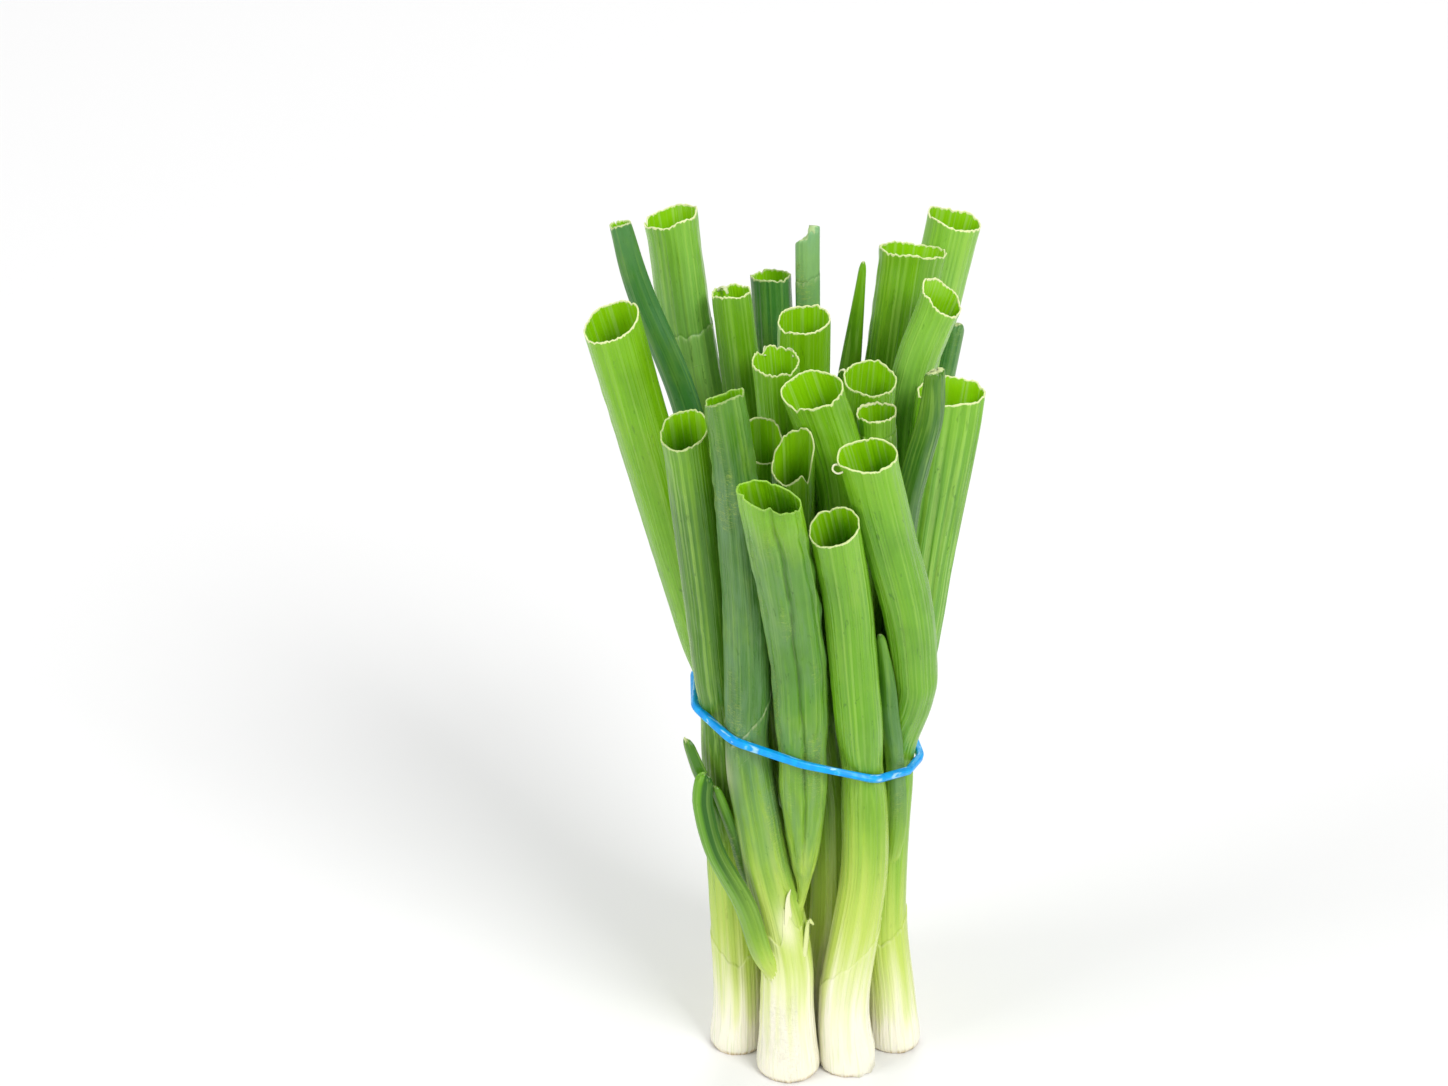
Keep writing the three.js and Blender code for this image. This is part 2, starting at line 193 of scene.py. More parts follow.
# Some leaves carry a share of painted shade on one half; a negative share paints a highlight there instead.
ONIONS = {
    "onion_front_left": [
        leaf(-110, "grey", slant=(0.55, 0.1),
             sheaths=[(107, 25, 112, 0.3, 0), (46, 7, 78, 0.4, 0, (46, 9, 0.24), (96, 2.5, 0.2))],
             pale=[(98, 150, 6, 0.7, 0.4), (50, 50, 6, 0.34, 0.75)], rows=[
            (-6.5, -20.3, 0, 8.8, 8.8), (-7, -20, 20, 7.5, 7.5), (-7.5, -20, 40, 7.2, 7),
            (-14, -19.5, 75, 6.5, 6.3), (-18.5, -18.5, 104, 6.4, 6), (-18.5, -27, 146, 6.3, 5.4),
            (-22, -40, 194, 5.8, 4.8), (-25, -48, 221, 5.5, 4.6)]),
        leaf(-95, "grey_old", root=38, slant=(-0.5, -0.25),
             creases=[(88, 1.2, 20), (152, 0.6, 60), (28, 0.5, 70)], rows=[
            (-3.6, -22, 58, 2, 2), (-3.6, -22, 68, 3.8, 3.4), (-3.6, -22, 79, 5, 4.4),
            (-3.7, -22.5, 91, 6.4, 4.8), (-3.8, -22.8, 102, 7.3, 4.8), (-4.6, -28, 132, 7.5, 5),
            (-8, -46, 174, 7.8, 4.8), (-11.4, -61, 200, 7.8, 4.6)]),
        leaf(-110, "bright", root=26, two_tone=0.8, ripe=34, rows=[
            (-14, -27, 41, 3.4, 1.8), (-19.2, -26.5, 58, 3.4, 1.5), (-27.2, -24, 74, 3.1, 1.3),
            (-30.3, -21, 88, 3, 1.2), (-29.2, -19.8, 96, 2.5, 1)]),
        leaf(-110, "grey", root=50, ripe=30, rows=[
            (-18.5, -20.5, 63, 1.7, 0.9), (-22.3, -20, 76, 1.8, 0.9), (-25.9, -19.5, 86, 1.7, 0.9),
            (-28, -19.4, 91.5, 1.5, 0.8)]),
    ],
    "onion_front_right": [
        leaf(-95, "fresh", slant=(0.25, -0.1), ripe=-5, sheaths=[(26, 24, 175, 0.3, 0)], rows=[
            (10.3, -18.3, 0, 7.9, 7.9), (9, -18.3, 24, 6.9, 6.9), (14.5, -18, 66, 6.5, 6.5),
            (13.5, -18.5, 100, 6.4, 6), (8, -31, 148, 6.5, 5.4), (0.2, -49.5, 186, 6.5, 5.4)]),
        leaf(-90, "fresh", root=84, slant=(-0.1, -0.3), rows=[
            (11, -17, 115, 5.6, 5), (9, -19, 150, 6.6, 5.8), (5.5, -22, 185, 7.6, 6.2),
            (-2.6, -25, 212.5, 7.8, 6.4)]),
    ],
    "onion_right_front": [
        leaf(-75, "fresh", slant=(-0.2, -0.2), ripe=9, sheaths=[(36, 14, 120, 0.4, 0)], rows=[
            (23.7, -7.5, 0, 7.4, 7.4), (22, -7.3, 20, 6.7, 6.7), (19.3, -6.7, 45, 6.5, 6.5),
            (19.5, -7.5, 96, 6.3, 6.2), (21.8, -17, 124, 6.3, 5.6), (20, -29, 155, 6.8, 5.4),
            (9.8, -48, 205, 7.4, 5.4)]),
        leaf(-80, "ribbed", root=84, slant=(0, -0.6), ribs=1, rows=[
            (22.5, -6, 115, 6.2, 4.8), (25, -8, 146, 7.6, 4.2), (31, -11, 189, 9, 3.8),
            (33, -12, 206, 9, 3.8)]),
        leaf(-80, "dark", root=90, slant=(0.2, 0), blunt=0.9, rows=[
            (22.3, -16, 130, 3.4, 2.8), (23, -22, 172, 3.7, 2.6), (25, -25.5, 190, 3.7, 2.3),
            (28, -28.5, 206, 3.4, 2), (28.6, -30, 220, 2.6, 1.5)]),
        leaf(-95, "grey", root=50, rows=[
            (21.9, -14, 76, 3, 1), (21.5, -16, 106, 2.8, 0.8), (19.2, -21, 124, 2.5, 0.7),
            (16, -27, 144, 1.2, 0.6)]),
    ],
    "onion_left_front": [
        leaf(-115, "olive", slant=(0.2, -0.4), ripe=9, sheaths=[(30, 16, 60, 0.4, 0)], rows=[
            (-21.3, -8, 0, 7.5, 7.5), (-21, -8, 21, 6.8, 6.8), (-23, -8, 60, 6.5, 6.5),
            (-24.5, -7, 98, 6.2, 6.2), (-28, -17, 138, 6.2, 5.5), (-31.5, -25, 172, 6.5, 5.4),
            (-35, -35, 206, 6.5, 5.4)]),
        leaf(-120, "lime", root=60, slant=(0.2, -0.3), rows=[
            (-24, 4, 98, 5.6, 5.6), (-31, 2, 130, 7, 6.2), (-40, -3, 167, 7.6, 6.4),
            (-54, -10, 225, 8.4, 6.6)]),
        leaf(-120, "dark", root=58, ripe=60, rows=[
            (-26.8, -15, 82, 2.6, 1), (-31.6, -15, 93, 2.4, 0.8), (-35.3, -13, 103, 1.6, 0.7)]),
    ],
    "onion_centre_front": [
        leaf(-100, "mid", slant=(0.3, -1.3), jag=1.4, tears=[(25, 5, 0.3)], rows=[
            (2.5, -5, 0, 7, 7), (3, -5, 20, 6.4, 6.4), (4.5, -7, 50, 5.8, 5.8),
            (2, -8.5, 100, 5.5, 5.2), (0, -13, 130, 5.4, 5), (-4.6, -22, 165, 5.4, 4.8),
            (-5.6, -31, 197, 5.6, 4.6)]),
        leaf(-100, "mid", root=48, slant=(0, -0.9), rows=[
            (-6, -5, 84, 5, 4.8), (-10.5, -4.5, 102, 5, 4.8), (-12.5, -9, 135, 5.6, 5),
            (-15, -18, 195, 5.5, 4.8)]),
    ],
    "onion_left_back": [
        leaf(-135, "faded", slant=(0.1, -0.2), ripe=4,
             sheaths=[(-33, 3, 150, 0.8, -0.4), (38, 12, 100, 0.4, 0)], rows=[
            (-15, 7, 0, 7.4, 7.4), (-15, 7.5, 25, 6.7, 6.7), (-15, 12.5, 100, 5.7, 5.7),
            (-19, 15.5, 130, 6.6, 6), (-33, 21, 197, 7.7, 6.4), (-39, 25, 240, 7.7, 6.4)]),
        leaf(-100, "cool", root=84, rows=[
            (-20, 9.5, 120, 3.6, 2.8), (-27, 9, 152, 4, 2.6), (-35, 10, 192, 4, 2.4),
            (-47, 10, 225, 3.6, 2.3), (-52, 10, 244, 2.9, 2.1)]),
    ],
    "onion_centre_back": [
        leaf(-95, "fresh", slant=(0, -0.3), jag=2.2, ripe=7, rows=[
            (0, 11, 0, 7.4, 7.4), (-0.5, 10.5, 25, 6.7, 6.7), (-3.5, 7, 100, 5.6, 5.6),
            (-5.5, 4, 132, 5.8, 5.4), (-12, -5, 212, 6, 5.2)]),
        leaf(-110, "mid", root=84, rows=[
            (-9, 9, 122, 5, 4.6), (-16, 10, 165, 5.4, 4.8), (-23, 12, 224, 5.5, 4.8)]),
    ],
    "onion_right_back": [
        leaf(-85, "fresh", slant=(-0.1, -0.3), jag=1.5, sheaths=[(34, 15, 80, 0.4, 0)], rows=[
            (16.5, 6.5, 0, 7.4, 7.4), (15.5, 6, 25, 6.7, 6.7), (7, 3.5, 100, 5.4, 5.4),
            (8.5, 0, 132, 6, 5.6), (13, -8, 208, 7.2, 6)]),
        leaf(-60, "light", root=44, slant=(-0.25, -0.5), rows=[
            (18, 7, 98, 5.6, 5.6), (21, 6, 135, 5.8, 5.4), (23.5, 4, 196, 5.9, 5.2),
            (32, 6, 225, 6, 5.2)]),
        leaf(-80, "lime", root=84, sheaths=[(-6, 1.5, 90, 0.2, 0.5)], rows=[
            (14.5, -4, 118, 4, 3.8), (15.5, -11, 150, 4.8, 4.2), (13, -19, 203, 4.9, 4.2)]),
        leaf(-60, "cool", root=84, rows=[
            (17, 8, 104, 2.8, 2.2), (25, 14, 140, 2.8, 1.6), (37, 16, 213, 2.8, 1.3)]),
    ],
    "onion_back_left": [
        leaf(-90, "lime", slant=(0.1, -0.2), jag=1.3, sheaths=[(32, 14, -60, 0.4, 0)], rows=[
            (-9, 24, 0, 7.4, 7.4), (-8.5, 24, 25, 6.7, 6.7), (-4, 18.5, 100, 5.7, 5.7),
            (-3.2, 17.5, 132, 6.3, 5.8), (-4, 10, 217, 7, 6)]),
        leaf(-100, "cool", root=84, rows=[
            (-7, 26, 125, 5, 4.6), (-12, 35, 219, 5.5, 5)]),
        leaf(-90, "misty", root=88, slant=(0.7, 0), blunt=0.7, sheaths=[(-13, 1, 90, 0.2, 0.4)], rows=[
            (-2, 26, 132, 3, 1.6), (-3, 30, 233, 3.3, 1.3)]),
    ],
    "onion_back_right": [
        leaf(-70, "mid", slant=(0, 0.05), jag=1.7, sheaths=[(40, 12, -90, 0.4, 0)], rows=[
            (9, 24.5, 0, 7.4, 7.4), (9, 24, 25, 6.7, 6.7), (8.5, 16.5, 100, 5.7, 5.7),
            (12, 20, 132, 6.6, 6.2), (18, 25, 178, 8, 6.8), (25, 30, 229, 9, 7.2)]),
        leaf(-50, "light", root=84, slant=(0, -0.2), rows=[
            (16, 27, 130, 6, 5.6), (25, 34.5, 180, 7.2, 6.2), (36, 42, 232, 8, 6.6)]),
        leaf(-90, "mid", root=86, two_tone=-0.3, rows=[
            (7, 25, 130, 3.4, 2.2), (10, 26, 180, 3.6, 1.5), (14, 25, 227, 0.9, 0.6)]),
    ],
}
print(sum(len(plans) for plans in ONIONS.values()), "shoots on", len(ONIONS), "onions")

# %% [markdown]
# ## A smooth line through the rows
#
# A stem bends evenly, so we run a Catmull-Rom spline through the rows: it passes through every one of them
# and needs no handles. The rubber band takes away a little of each shank's width where it grips. A side
# leaf starts inside its shank, at the place nearest to its root.

# %% Places along a shoot
STEP = 5.0
ROOT_SHARE = 0.6
BAND_HEIGHT = 103.0
BAND_SLOPE = -0.28
BAND_SQUEEZE = 0.12
BAND_REACH = 8.0


def unit(vectors):
    """The same directions, each with the length 1."""
    return vectors / np.linalg.norm(vectors, axis=1)[:, None]


def spline(rows, i, u):
    """The row at the share u of the stretch from row i to the next."""
    p1, p2 = rows[i], rows[i + 1]
    p0 = rows[i - 1] if i > 0 else 2 * p1 - p2
    p3 = rows[i + 2] if i + 2 < len(rows) else 2 * p2 - p1
    return p1 + 0.5 * u * (p2 - p0 + u * (2 * p0 - 5 * p1 + 4 * p2 - p3
                                          + u * (3 * (p1 - p2) + p3 - p0)))


def refine(rows, count):
    """The rows with the spline's places between them, this many for each stretch."""
    fine = [spline(rows, i, j / count) for i in range(len(rows) - 1) for j in range(count)]
    return np.array(fine + [rows[-1]])


def above_band(centre):
    """How far each place is above the band's tilted plane."""
    return centre[:, 2] - BAND_HEIGHT - BAND_SLOPE * centre[:, 0]


def places_of(rows):
    """Rows about STEP apart along the shoot, squeezed at the band."""
    rows = np.array(rows, float)
    places = []
    for i in range(len(rows) - 1):
        count = max(1, math.floor(np.linalg.norm(rows[i + 1, :3] - rows[i, :3]) / STEP + 0.5))
        places += [spline(rows, i, j / count) for j in range(count)]
    places = np.array(places + [rows[-1]])
    over = above_band(places) / BAND_REACH
    places[:, 3:5] *= (1 - BAND_SQUEEZE * np.exp(-over ** 2))[:, None]
    return places


def directions(centre, face, rooted):
    """Along the shoot, the way its flat side looks, and across its width."""
    along = np.empty_like(centre)
    along[1:-1] = centre[2:] - centre[:-2]
    along[0] = centre[1] - centre[0]
    along[-1] = centre[-1] - centre[-2]
    if rooted:
        along[0] = (0, 0, 1)
    along = unit(along)
    look = np.array([math.cos(face), math.sin(face), 0])
    out = unit(look - (along @ look)[:, None] * along)
    return along, out, np.cross(along, out)


def make_shoots():
    """Every shoot with its places, in one list, side leaves after their shank."""
    shoots = []
    for onion, plans in ONIONS.items():
        main = None
        for plan in plans:
            rows, root, parent = plan["rows"], plan.get("root", 0), None
            if main is not None:
                nearest = int(np.argmin(np.abs(main["places"][:, 2] - root)))
                x, y, z, a, b = main["places"][nearest]
                rows = [(x, y, z, a * ROOT_SHARE, b * ROOT_SHARE), *rows]
                parent = (main, nearest)
            shoot = {**plan, "onion": onion, "root": root, "parent": parent,
                     "places": places_of(rows), "face": math.radians(plan["face"])}
            shoot["shift"] = np.zeros((len(shoot["places"]), 2))
            main = main or shoot
            shoots.append(shoot)
    return shoots


shoots = make_shoots()
print(sum(len(shoot["places"]) for shoot in shoots), "places along the shoots")

# %% [markdown]
# ## The shoots settle against each other
#
# Drawn freely, the shoots would cut through each other. In a real bunch they press each other aside. So
# wherever two are too close, both move apart by half of what is missing, each push is spread along its
# shoot as a stiff stem would, and this is repeated for a fixed number of rounds. The solids were settled in
# the same way.

# %% Settle
GAP = 0.45
ROUNDS = 220
LAST_ROUNDS = 60
STIFFNESS = 0.25
LAST_STIFFNESS = 0.02
WINDOW = 3.6
FREE = 30.0
TIED = 25.0
NEAR = 40.0
TOUCHING = 0.01


def touching_pairs(first):
    """Numbers of the places of different shoots that could touch."""
    left, right = [], []
    for i, one in enumerate(shoots):
        for j in range(i + 1, len(shoots)):
            other = shoots[j]
            p, q = one["places"][:, :3], other["places"][:, :3]
            near = np.linalg.norm(p[:, None] - q[None], axis=2) <= NEAR
            if one["onion"] == other["onion"]:
                free = max(one["root"], other["root"]) + FREE
                near &= (p[:, 2] > free)[:, None] & (q[:, 2] > free)[None]
            a, b = np.nonzero(near)
            left.append(a + first[i])
            right.append(b + first[j])
    return np.concatenate(left), np.concatenate(right)


def follow(shoot, push, stiffness):
    """The shoot moves with its pushes, spread along its length."""
    shift = shoot["shift"] + push
    before = np.vstack([shift[:1], shift[:-1]])
    after = np.vstack([shift[1:], shift[-1:]])
    shift = shift + stiffness * (before + after - 2 * shift)
    if shoot["parent"]:
        main, nearest = shoot["parent"]
        tied = round(TIED / STEP)
        held = main["shift"][nearest] - shift[0]
        weight = np.clip(1 - np.arange(len(shift)) / tied, 0, 1)
        shift += weight[:, None] * held
    shoot["shift"] = shift


def settle():
    """Moves the shoots sideways for a fixed number of rounds, and gives how far the closest are still short
    of their gap.
    """
    first = np.cumsum([0] + [len(s["places"]) for s in shoots])
    start = np.vstack([s["places"] for s in shoots])
    sides = [directions(s["places"][:, :3], s["face"], s["parent"] is None) for s in shoots]
    along, out, across = (np.vstack([side[k] for side in sides]) for k in range(3))
    p, q = touching_pairs(first)
    axis = unit(along[p] + along[q])
    centre = start[:, :3].copy()

    def reach(i, u):
        return np.hypot(start[i, 3] * (u * across[i]).sum(1), start[i, 4] * (u * out[i]).sum(1))

    for round_number in range(ROUNDS):
        d = centre[p] - centre[q]
        lengthwise = (d * axis).sum(1)
        d -= lengthwise[:, None] * axis
        far = np.maximum(np.linalg.norm(d, axis=1), TOUCHING)
        u = d / far[:, None]
        missing = reach(p, u) + reach(q, u) + GAP - far
        hit = (np.abs(lengthwise) <= WINDOW) & (missing > 0)
        push = 0.5 * missing[hit, None] * u[hit, :2]
        both = np.concatenate([p[hit], q[hit]])
        pushes = np.vstack([push, -push])
        count = np.maximum(np.bincount(both, minlength=len(start)), 1)
        total = np.stack([np.bincount(both, pushes[:, k], len(start)) / count for k in (0, 1)], 1)
        stiffness = STIFFNESS if round_number < ROUNDS - LAST_ROUNDS else LAST_STIFFNESS
        for i, shoot in enumerate(shoots):
            follow(shoot, total[first[i]:first[i + 1]], stiffness)
            centre[first[i]:first[i + 1], :2] = shoot["places"][:, :2] + shoot["shift"]
    for shoot in shoots:
        shoot["places"][:, :2] += shoot["shift"]
    return float(np.max(missing[hit])) if hit.any() else 0.0


print("closest shoots are short of their gap by", round(settle(), 2), "mm")

# %% [markdown]
# ## Fine centre lines
#
# A smooth skin needs rings closer together than the settled places, so we run the same spline through
# them once more and read off a place every millimetre.

# %% Fine centre lines
FINE = 5


def fine_line(shoot):
    """Adds the shoot's finely spaced line: distance, centre, sizes and directions."""
    fine = refine(shoot["places"], FINE)
    centre = fine[:, :3] + BUNCH_PLACE
    steps = np.linalg.norm(np.diff(centre, axis=0), axis=1)
    shoot["s"] = np.concatenate([[0], np.cumsum(steps)])
    shoot["length"] = shoot["s"][-1]
    shoot["along"], shoot["out"], shoot["across"] = directions(
        centre, shoot["face"], shoot["parent"] is None)
    shoot["centre"], shoot["half"] = centre, fine[:, 3:5]


def read(shoot, key, s):
    """A value of the fine line at the distances s, of any shape."""
    table = shoot[key]
    return np.stack([np.interp(s, shoot["s"], table[:, k]) for k in range(table.shape[1])], -1)


for shoot in shoots:
    fine_line(shoot)
print("longest shoot:", round(max(s["length"] for s in shoots)), "mm")

# %% [markdown]
# ## The looks of the leaves
#
# `tone` is how dark a leaf is, `warm` how yellow its green, `bloom` how much waxy grey lies on it, `veins`
# how strong its stripes are, `rim` how dry and white its cut edge, and `wrinkle` how withered its skin, in
# millimetres. `pale` says how faded it is, and `tip` how fresh its green is just below the cut.

# %% Looks
LOOK_VALUES = ("tone", "warm", "bloom", "veins", "rim", "wrinkle", "pale", "tip")
LOOK_TABLE = {
    "fresh": (0.06, 0.85, 0.1, 0.55, 0.8, 0.05, 0, 0.4),
    "lime": (0, 1, 0.05, 0.5, 1, 0.05, 0, 0.4),
    "light": (0, 0.75, 0.12, 0.7, 1, 0.05, 0.6, 0.4),
    "bright": (0.22, 0.85, 0.35, 0.4, 0.1, 0.08, 0, 0),
    "ribbed": (0.06, 0.7, 0.15, 1, 0.9, 0.06, 0.2, 0.4),
    "faded": (0, 0.65, 0.2, 0.8, 1, 0.08, 0.9, 0.4),
    "mid": (0.34, 0.85, 0.1, 0.7, 0.8, 0.07, 0, 0.4),
    "olive": (0.62, 0.95, 0.22, 0.8, 0.6, 0.1, 0, 0.4),
    "dark": (0.85, 0.6, 0.12, 0.5, 0.7, 0.06, 0, 0.1),
    "cool": (0.5, 0.15, 0.5, 0.3, 0.6, 0.04, 0, 0.05),
    "misty": (0.2, 0.1, 0.8, 0.3, 0.4, 0.04, 0.8, 0),
    "grey": (0.66, 0.6, 0.85, 0.35, 0.25, 0.16, 0, 0.2),
    "grey_old": (0.4, 0.7, 0.75, 0.4, 0.1, 0.24, 0, 0.8),
}
LOOKS = {name: dict(zip(LOOK_VALUES, values)) for name, values in LOOK_TABLE.items()}
print(len(LOOKS), "looks, the darkest is", max(LOOKS, key=lambda name: LOOKS[name]["tone"]))

# %% [markdown]
# ## Cut ends and sheath edges
#
# A knife leaves a slanted, slightly ragged end with a few nicks. Lower down, the edge of an outer sheath
# runs round the shank as a shallow V, and the layer under it is a little thinner. A sheath is given by its
# height (from the cut if negative), tilt, turn, raggedness and how much lighter the leaf is above it. Spikes
# may follow: angle, height and width.

# %% Cut line and sheaths
TURN = 2 * math.pi
SHEATH_STEP = 0.28
SHEATH_FADE = 30.0
SHEATH_EDGE = 0.14
RIPER = 3.0
RIPER_FADE = 60
RAGGED = 0.3
JAGGED = 0.12
NICKS = 3
NICK_WIDTH = (0.06, 0.14)
NICK_DEPTH = (0.3, 1.0)
ALL_ROUND = (0, 6.28)
NO_EDGE = 9.0


def waves(rng, count, turns, pace):
    """Random waves that close round the leaf: turns per round, pace along it and phase."""
    return [(int(rng.integers(turns[0], turns[1] + 1)) * int(rng.choice([-1, 1])),
             rng.uniform(*pace), rng.uniform(0, TURN)) for _ in range(count)]


def sum_waves(wave_list, angle, s):
    total = sum(np.sin(turns * angle + pace * s + phase) for turns, pace, phase in wave_list)
    return total / math.sqrt(len(wave_list))


def bell(x, width):
    return np.exp(-(x / width) ** 2)


def step(x, low, high):
    """A smooth step from 0 at low to 1 at high."""
    u = np.clip((x - low) / (high - low), 0, 1)
    return u * u * (3 - 2 * u)


def turned_from(angle, degrees):
    """How far the angle is from a direction in degrees, from -pi to pi."""
    return (angle - math.radians(degrees) + math.pi) % TURN - math.pi


def cut_line(shoot, angle, rng):
    """How far the cut end stands above or below the shoot's end, round the leaf."""
    a, b = shoot["half"][-1]
    tip, lean = shoot.get("slant", (0, 0))
    jag = shoot.get("jag", 1.0)
    line = tip * a * np.cos(angle) + lean * b * np.sin(angle)
    line = line + RAGGED * sum_waves(waves(rng, 5, (2, 6), (0, 0)), angle, 0)
    line = line + JAGGED * jag * sum_waves(waves(rng, 9, (11, 34), (0, 0)), angle, 0)
    for _ in range(round(NICKS * jag)):
        at = math.degrees(rng.uniform(*ALL_ROUND))
        nick = bell(turned_from(angle, at), rng.uniform(*NICK_WIDTH))
        line -= rng.uniform(*NICK_DEPTH) * nick
    for at, depth, width in shoot.get("tears", []):
        line -= depth * np.maximum(0, 1 - np.abs(turned_from(angle, at)) / width)
    return line


def sheath_lines(shoot, rng):
    """Each sheath edge: its mean distance along the shoot and a rule for its offset round it."""
    lines = []
    for at, tilt, turn, jag, lighter, *spikes in shoot.get("sheaths", []):
        middle = (at if at > 0 else shoot["length"] + at) + tilt / 2
        torn = waves(rng, 7, (3, 19), (0, 0))

        def offset(angle, tilt=tilt, turn=turn, jag=jag, torn=torn, spikes=spikes):
            line = tilt * (np.abs(turned_from(angle, turn)) / math.pi - 0.5)
            for spike, high, wide in spikes:
                line = line + high * bell(turned_from(angle, spike), wide)
            return line + jag * sum_waves(torn, angle, 0)
        lines.append((middle, tilt, lighter, offset))
    return lines


def sheath_marks(lines, angle, s, outside):
    """What the edges do to the skin: move it, thicken it, and make it lighter and riper above."""
    shift, proud, lighter, riper = np.zeros((4, len(s)))
    to_sheath = np.full(len(s), NO_EDGE)
    for middle, tilt, light, offset in lines:
        past = s - middle
        above = step(past, -SHEATH_EDGE, SHEATH_EDGE)
        shift += offset(angle) * bell(past, 1.6 * tilt + 5) * outside
        proud += SHEATH_STEP * outside * (1 - above) * np.exp(np.minimum(past, 0) / SHEATH_FADE)
        to_sheath = np.where(np.abs(past) < np.abs(to_sheath), past, to_sheath)
        lighter += light * above
        riper += RIPER * (1 - light) * above * np.exp(-np.maximum(past, 0) / RIPER_FADE)
    return shift, proud, to_sheath, lighter, riper


print(sum(len(shoot.get("sheaths", [])) for shoot in shoots), "sheath edges")

# %% [markdown]
# ## Dents, wrinkles and creases
#
# Broad waves and faint facets keep the leaves from looking like pipes. Fine wrinkles come in patches, and
# most above the shank, where a leaf has dried. Thumbs and neighbours leave soft dents. Old leaves have long
# creases, each given by its angle, its depth and where it starts. The ribbed leaf has even ribs.

# %% Dents
BROAD = 0.1
FACETS = 0.045
DENT_SPACING = 26
DENT_WIDTH = (0.3, 0.8)
DENT_LENGTH = (4, 14)
DENT_DEPTH = (0.1, 0.35)
WRINKLES_START = {"shank": (35, 95), "side": (8, 50)}
RIBS = 17
RIB_HEIGHT = 0.1


def dents(shoot, angle, s, rng):
    """Millimetres that the skin stands proud or sunken, round and along the shoot."""
    wrinkle = LOOKS[shoot["look"]]["wrinkle"]
    size = float(shoot["half"].mean()) / 6
    total = size * BROAD * sum_waves(waves(rng, 5, (2, 5), (0.01, 0.05)), angle, s)
    total += size * FACETS * sum_waves(waves(rng, 4, (9, 15), (0.0, 0.01)), angle, s)
    old = 0.5 + 0.5 * sum_waves(waves(rng, 4, (0, 2), (0.02, 0.06)), angle, s)
    fine = sum_waves(waves(rng, 9, (2, 9), (0.15, 0.9)), angle, s)
    grown_in = step(s, *WRINKLES_START["side" if shoot["parent"] else "shank"])
    total += size * wrinkle * (0.15 + 0.85 * grown_in) * np.clip(old, 0.15, 1.3) * fine
    for _ in range(int(shoot["length"] / DENT_SPACING)):
        at, where = math.degrees(rng.uniform(*ALL_ROUND)), rng.uniform(0, shoot["length"])
        dent = bell(turned_from(angle, at), rng.uniform(*DENT_WIDTH))
        dent *= bell(s - where, rng.uniform(*DENT_LENGTH))
        total -= size * rng.uniform(*DENT_DEPTH) * dent
    for at, depth, start in shoot.get("creases", []):
        wander = 0.07 * np.sin(s / 13 + at) + 0.03 * np.sin(s / 4.1)
        off = turned_from(angle - wander, at)
        fold = bell(off, 0.1) + 0.45 * np.where(off < 0, np.exp(off / 0.3), 0)
        total -= depth * fold * step(s, start, start + 30)
    total += RIB_HEIGHT * shoot.get("ribs", 0) * np.cos(RIBS * angle) * step(s, 40, 90)
    return total


print(sum(int(shoot["length"] / DENT_SPACING) for shoot in shoots), "soft dents")

# %% [markdown]
# ## An empty sheet
#
# A leaf is a rolled sheet, so that is how we make it: a flat grid whose columns go round the leaf and whose
# rows go up the outside, over the cut rim and down the inside. The rows are close together at the cut rim
# and at a sheath edge, where the shape turns sharply, and wider apart inside, where little is seen. A leaf
# thinner than its two walls is a flat blade without a hollow. Each sheet also keeps named vectors for its
# points, which its material reads.

# %% Sheets
COLUMNS = 96
BLADE_COLUMNS = 48
ROW_STEP = 1.8
INNER_STEP = 2.8
HOLLOW = 58.0
THIN = 1.7
NEAR_FOOT = (0, 0.5, 1.1)
NEAR_EDGE = (-0.7, -0.13, 0.13, 0.7)
NEAR_RIM = (0.22, 0.6, 1.2, 2.1)


def sheet_rows(shoot, lines):
    """For each row: its distance from the root, and how deep it lies in the wall, 0 to 1."""
    length = shoot["length"]
    count = max(4, round((length - 3) / ROW_STEP))
    rim = [length - gap for gap in NEAR_RIM]
    outer = [*NEAR_FOOT, *np.linspace(ROW_STEP, length - 3, count), length, *rim]
    for middle, *_ in lines:
        outer = [s for s in outer if abs(s - middle) > 1.0]
        outer += [middle + gap for gap in NEAR_EDGE]
    outer.sort()
    if shoot["half"][-1, 1] < THIN:
        return np.array(outer), np.zeros(len(outer)), True
    inner = rim + list(np.arange(length - 4.5, max(length - HOLLOW, 4), -INNER_STEP))
    depth = [0] * len(outer) + [0.5] + [1] * (len(inner) + 1)
    return np.array(outer + [length + 0.1, length] + inner), np.array(depth), False


def flat_sheet(name, columns, rows):
    """An empty grid mesh, with the angle and the row number of every point."""
    mesh = bpy.data.meshes.new(name)
    with editing(mesh) as bm:
        bmesh.ops.create_grid(bm, x_segments=columns, y_segments=rows - 1, size=0.5)
    places = np.zeros(len(mesh.vertices) * 3, np.float32)
    mesh.vertices.foreach_get("co", places)
    places = places.reshape(-1, 3)
    row = np.rint((places[:, 1] + 0.5) * (rows - 1)).astype(int)
    angle = np.rint((places[:, 0] + 0.5) * columns) % columns / columns * TURN
    return mesh, angle, row


def place(mesh, where):
    """Moves the sheet's points to these places, in millimetres."""
    mesh.vertices.foreach_set("co", (where * MM).astype(np.float32).ravel())


def keep(mesh, **vectors):
    """Stores named vectors for every point of the sheet."""
    for name, values in vectors.items():
        layer = mesh.attributes.new(name, "FLOAT_VECTOR", "POINT")
        columns = [np.broadcast_to(np.asarray(v, float), (len(mesh.vertices),)) for v in values]
        layer.data.foreach_set("vector", np.stack(columns, 1).astype(np.float32).ravel())


print("a tube has", COLUMNS, "columns, a blade", BLADE_COLUMNS)

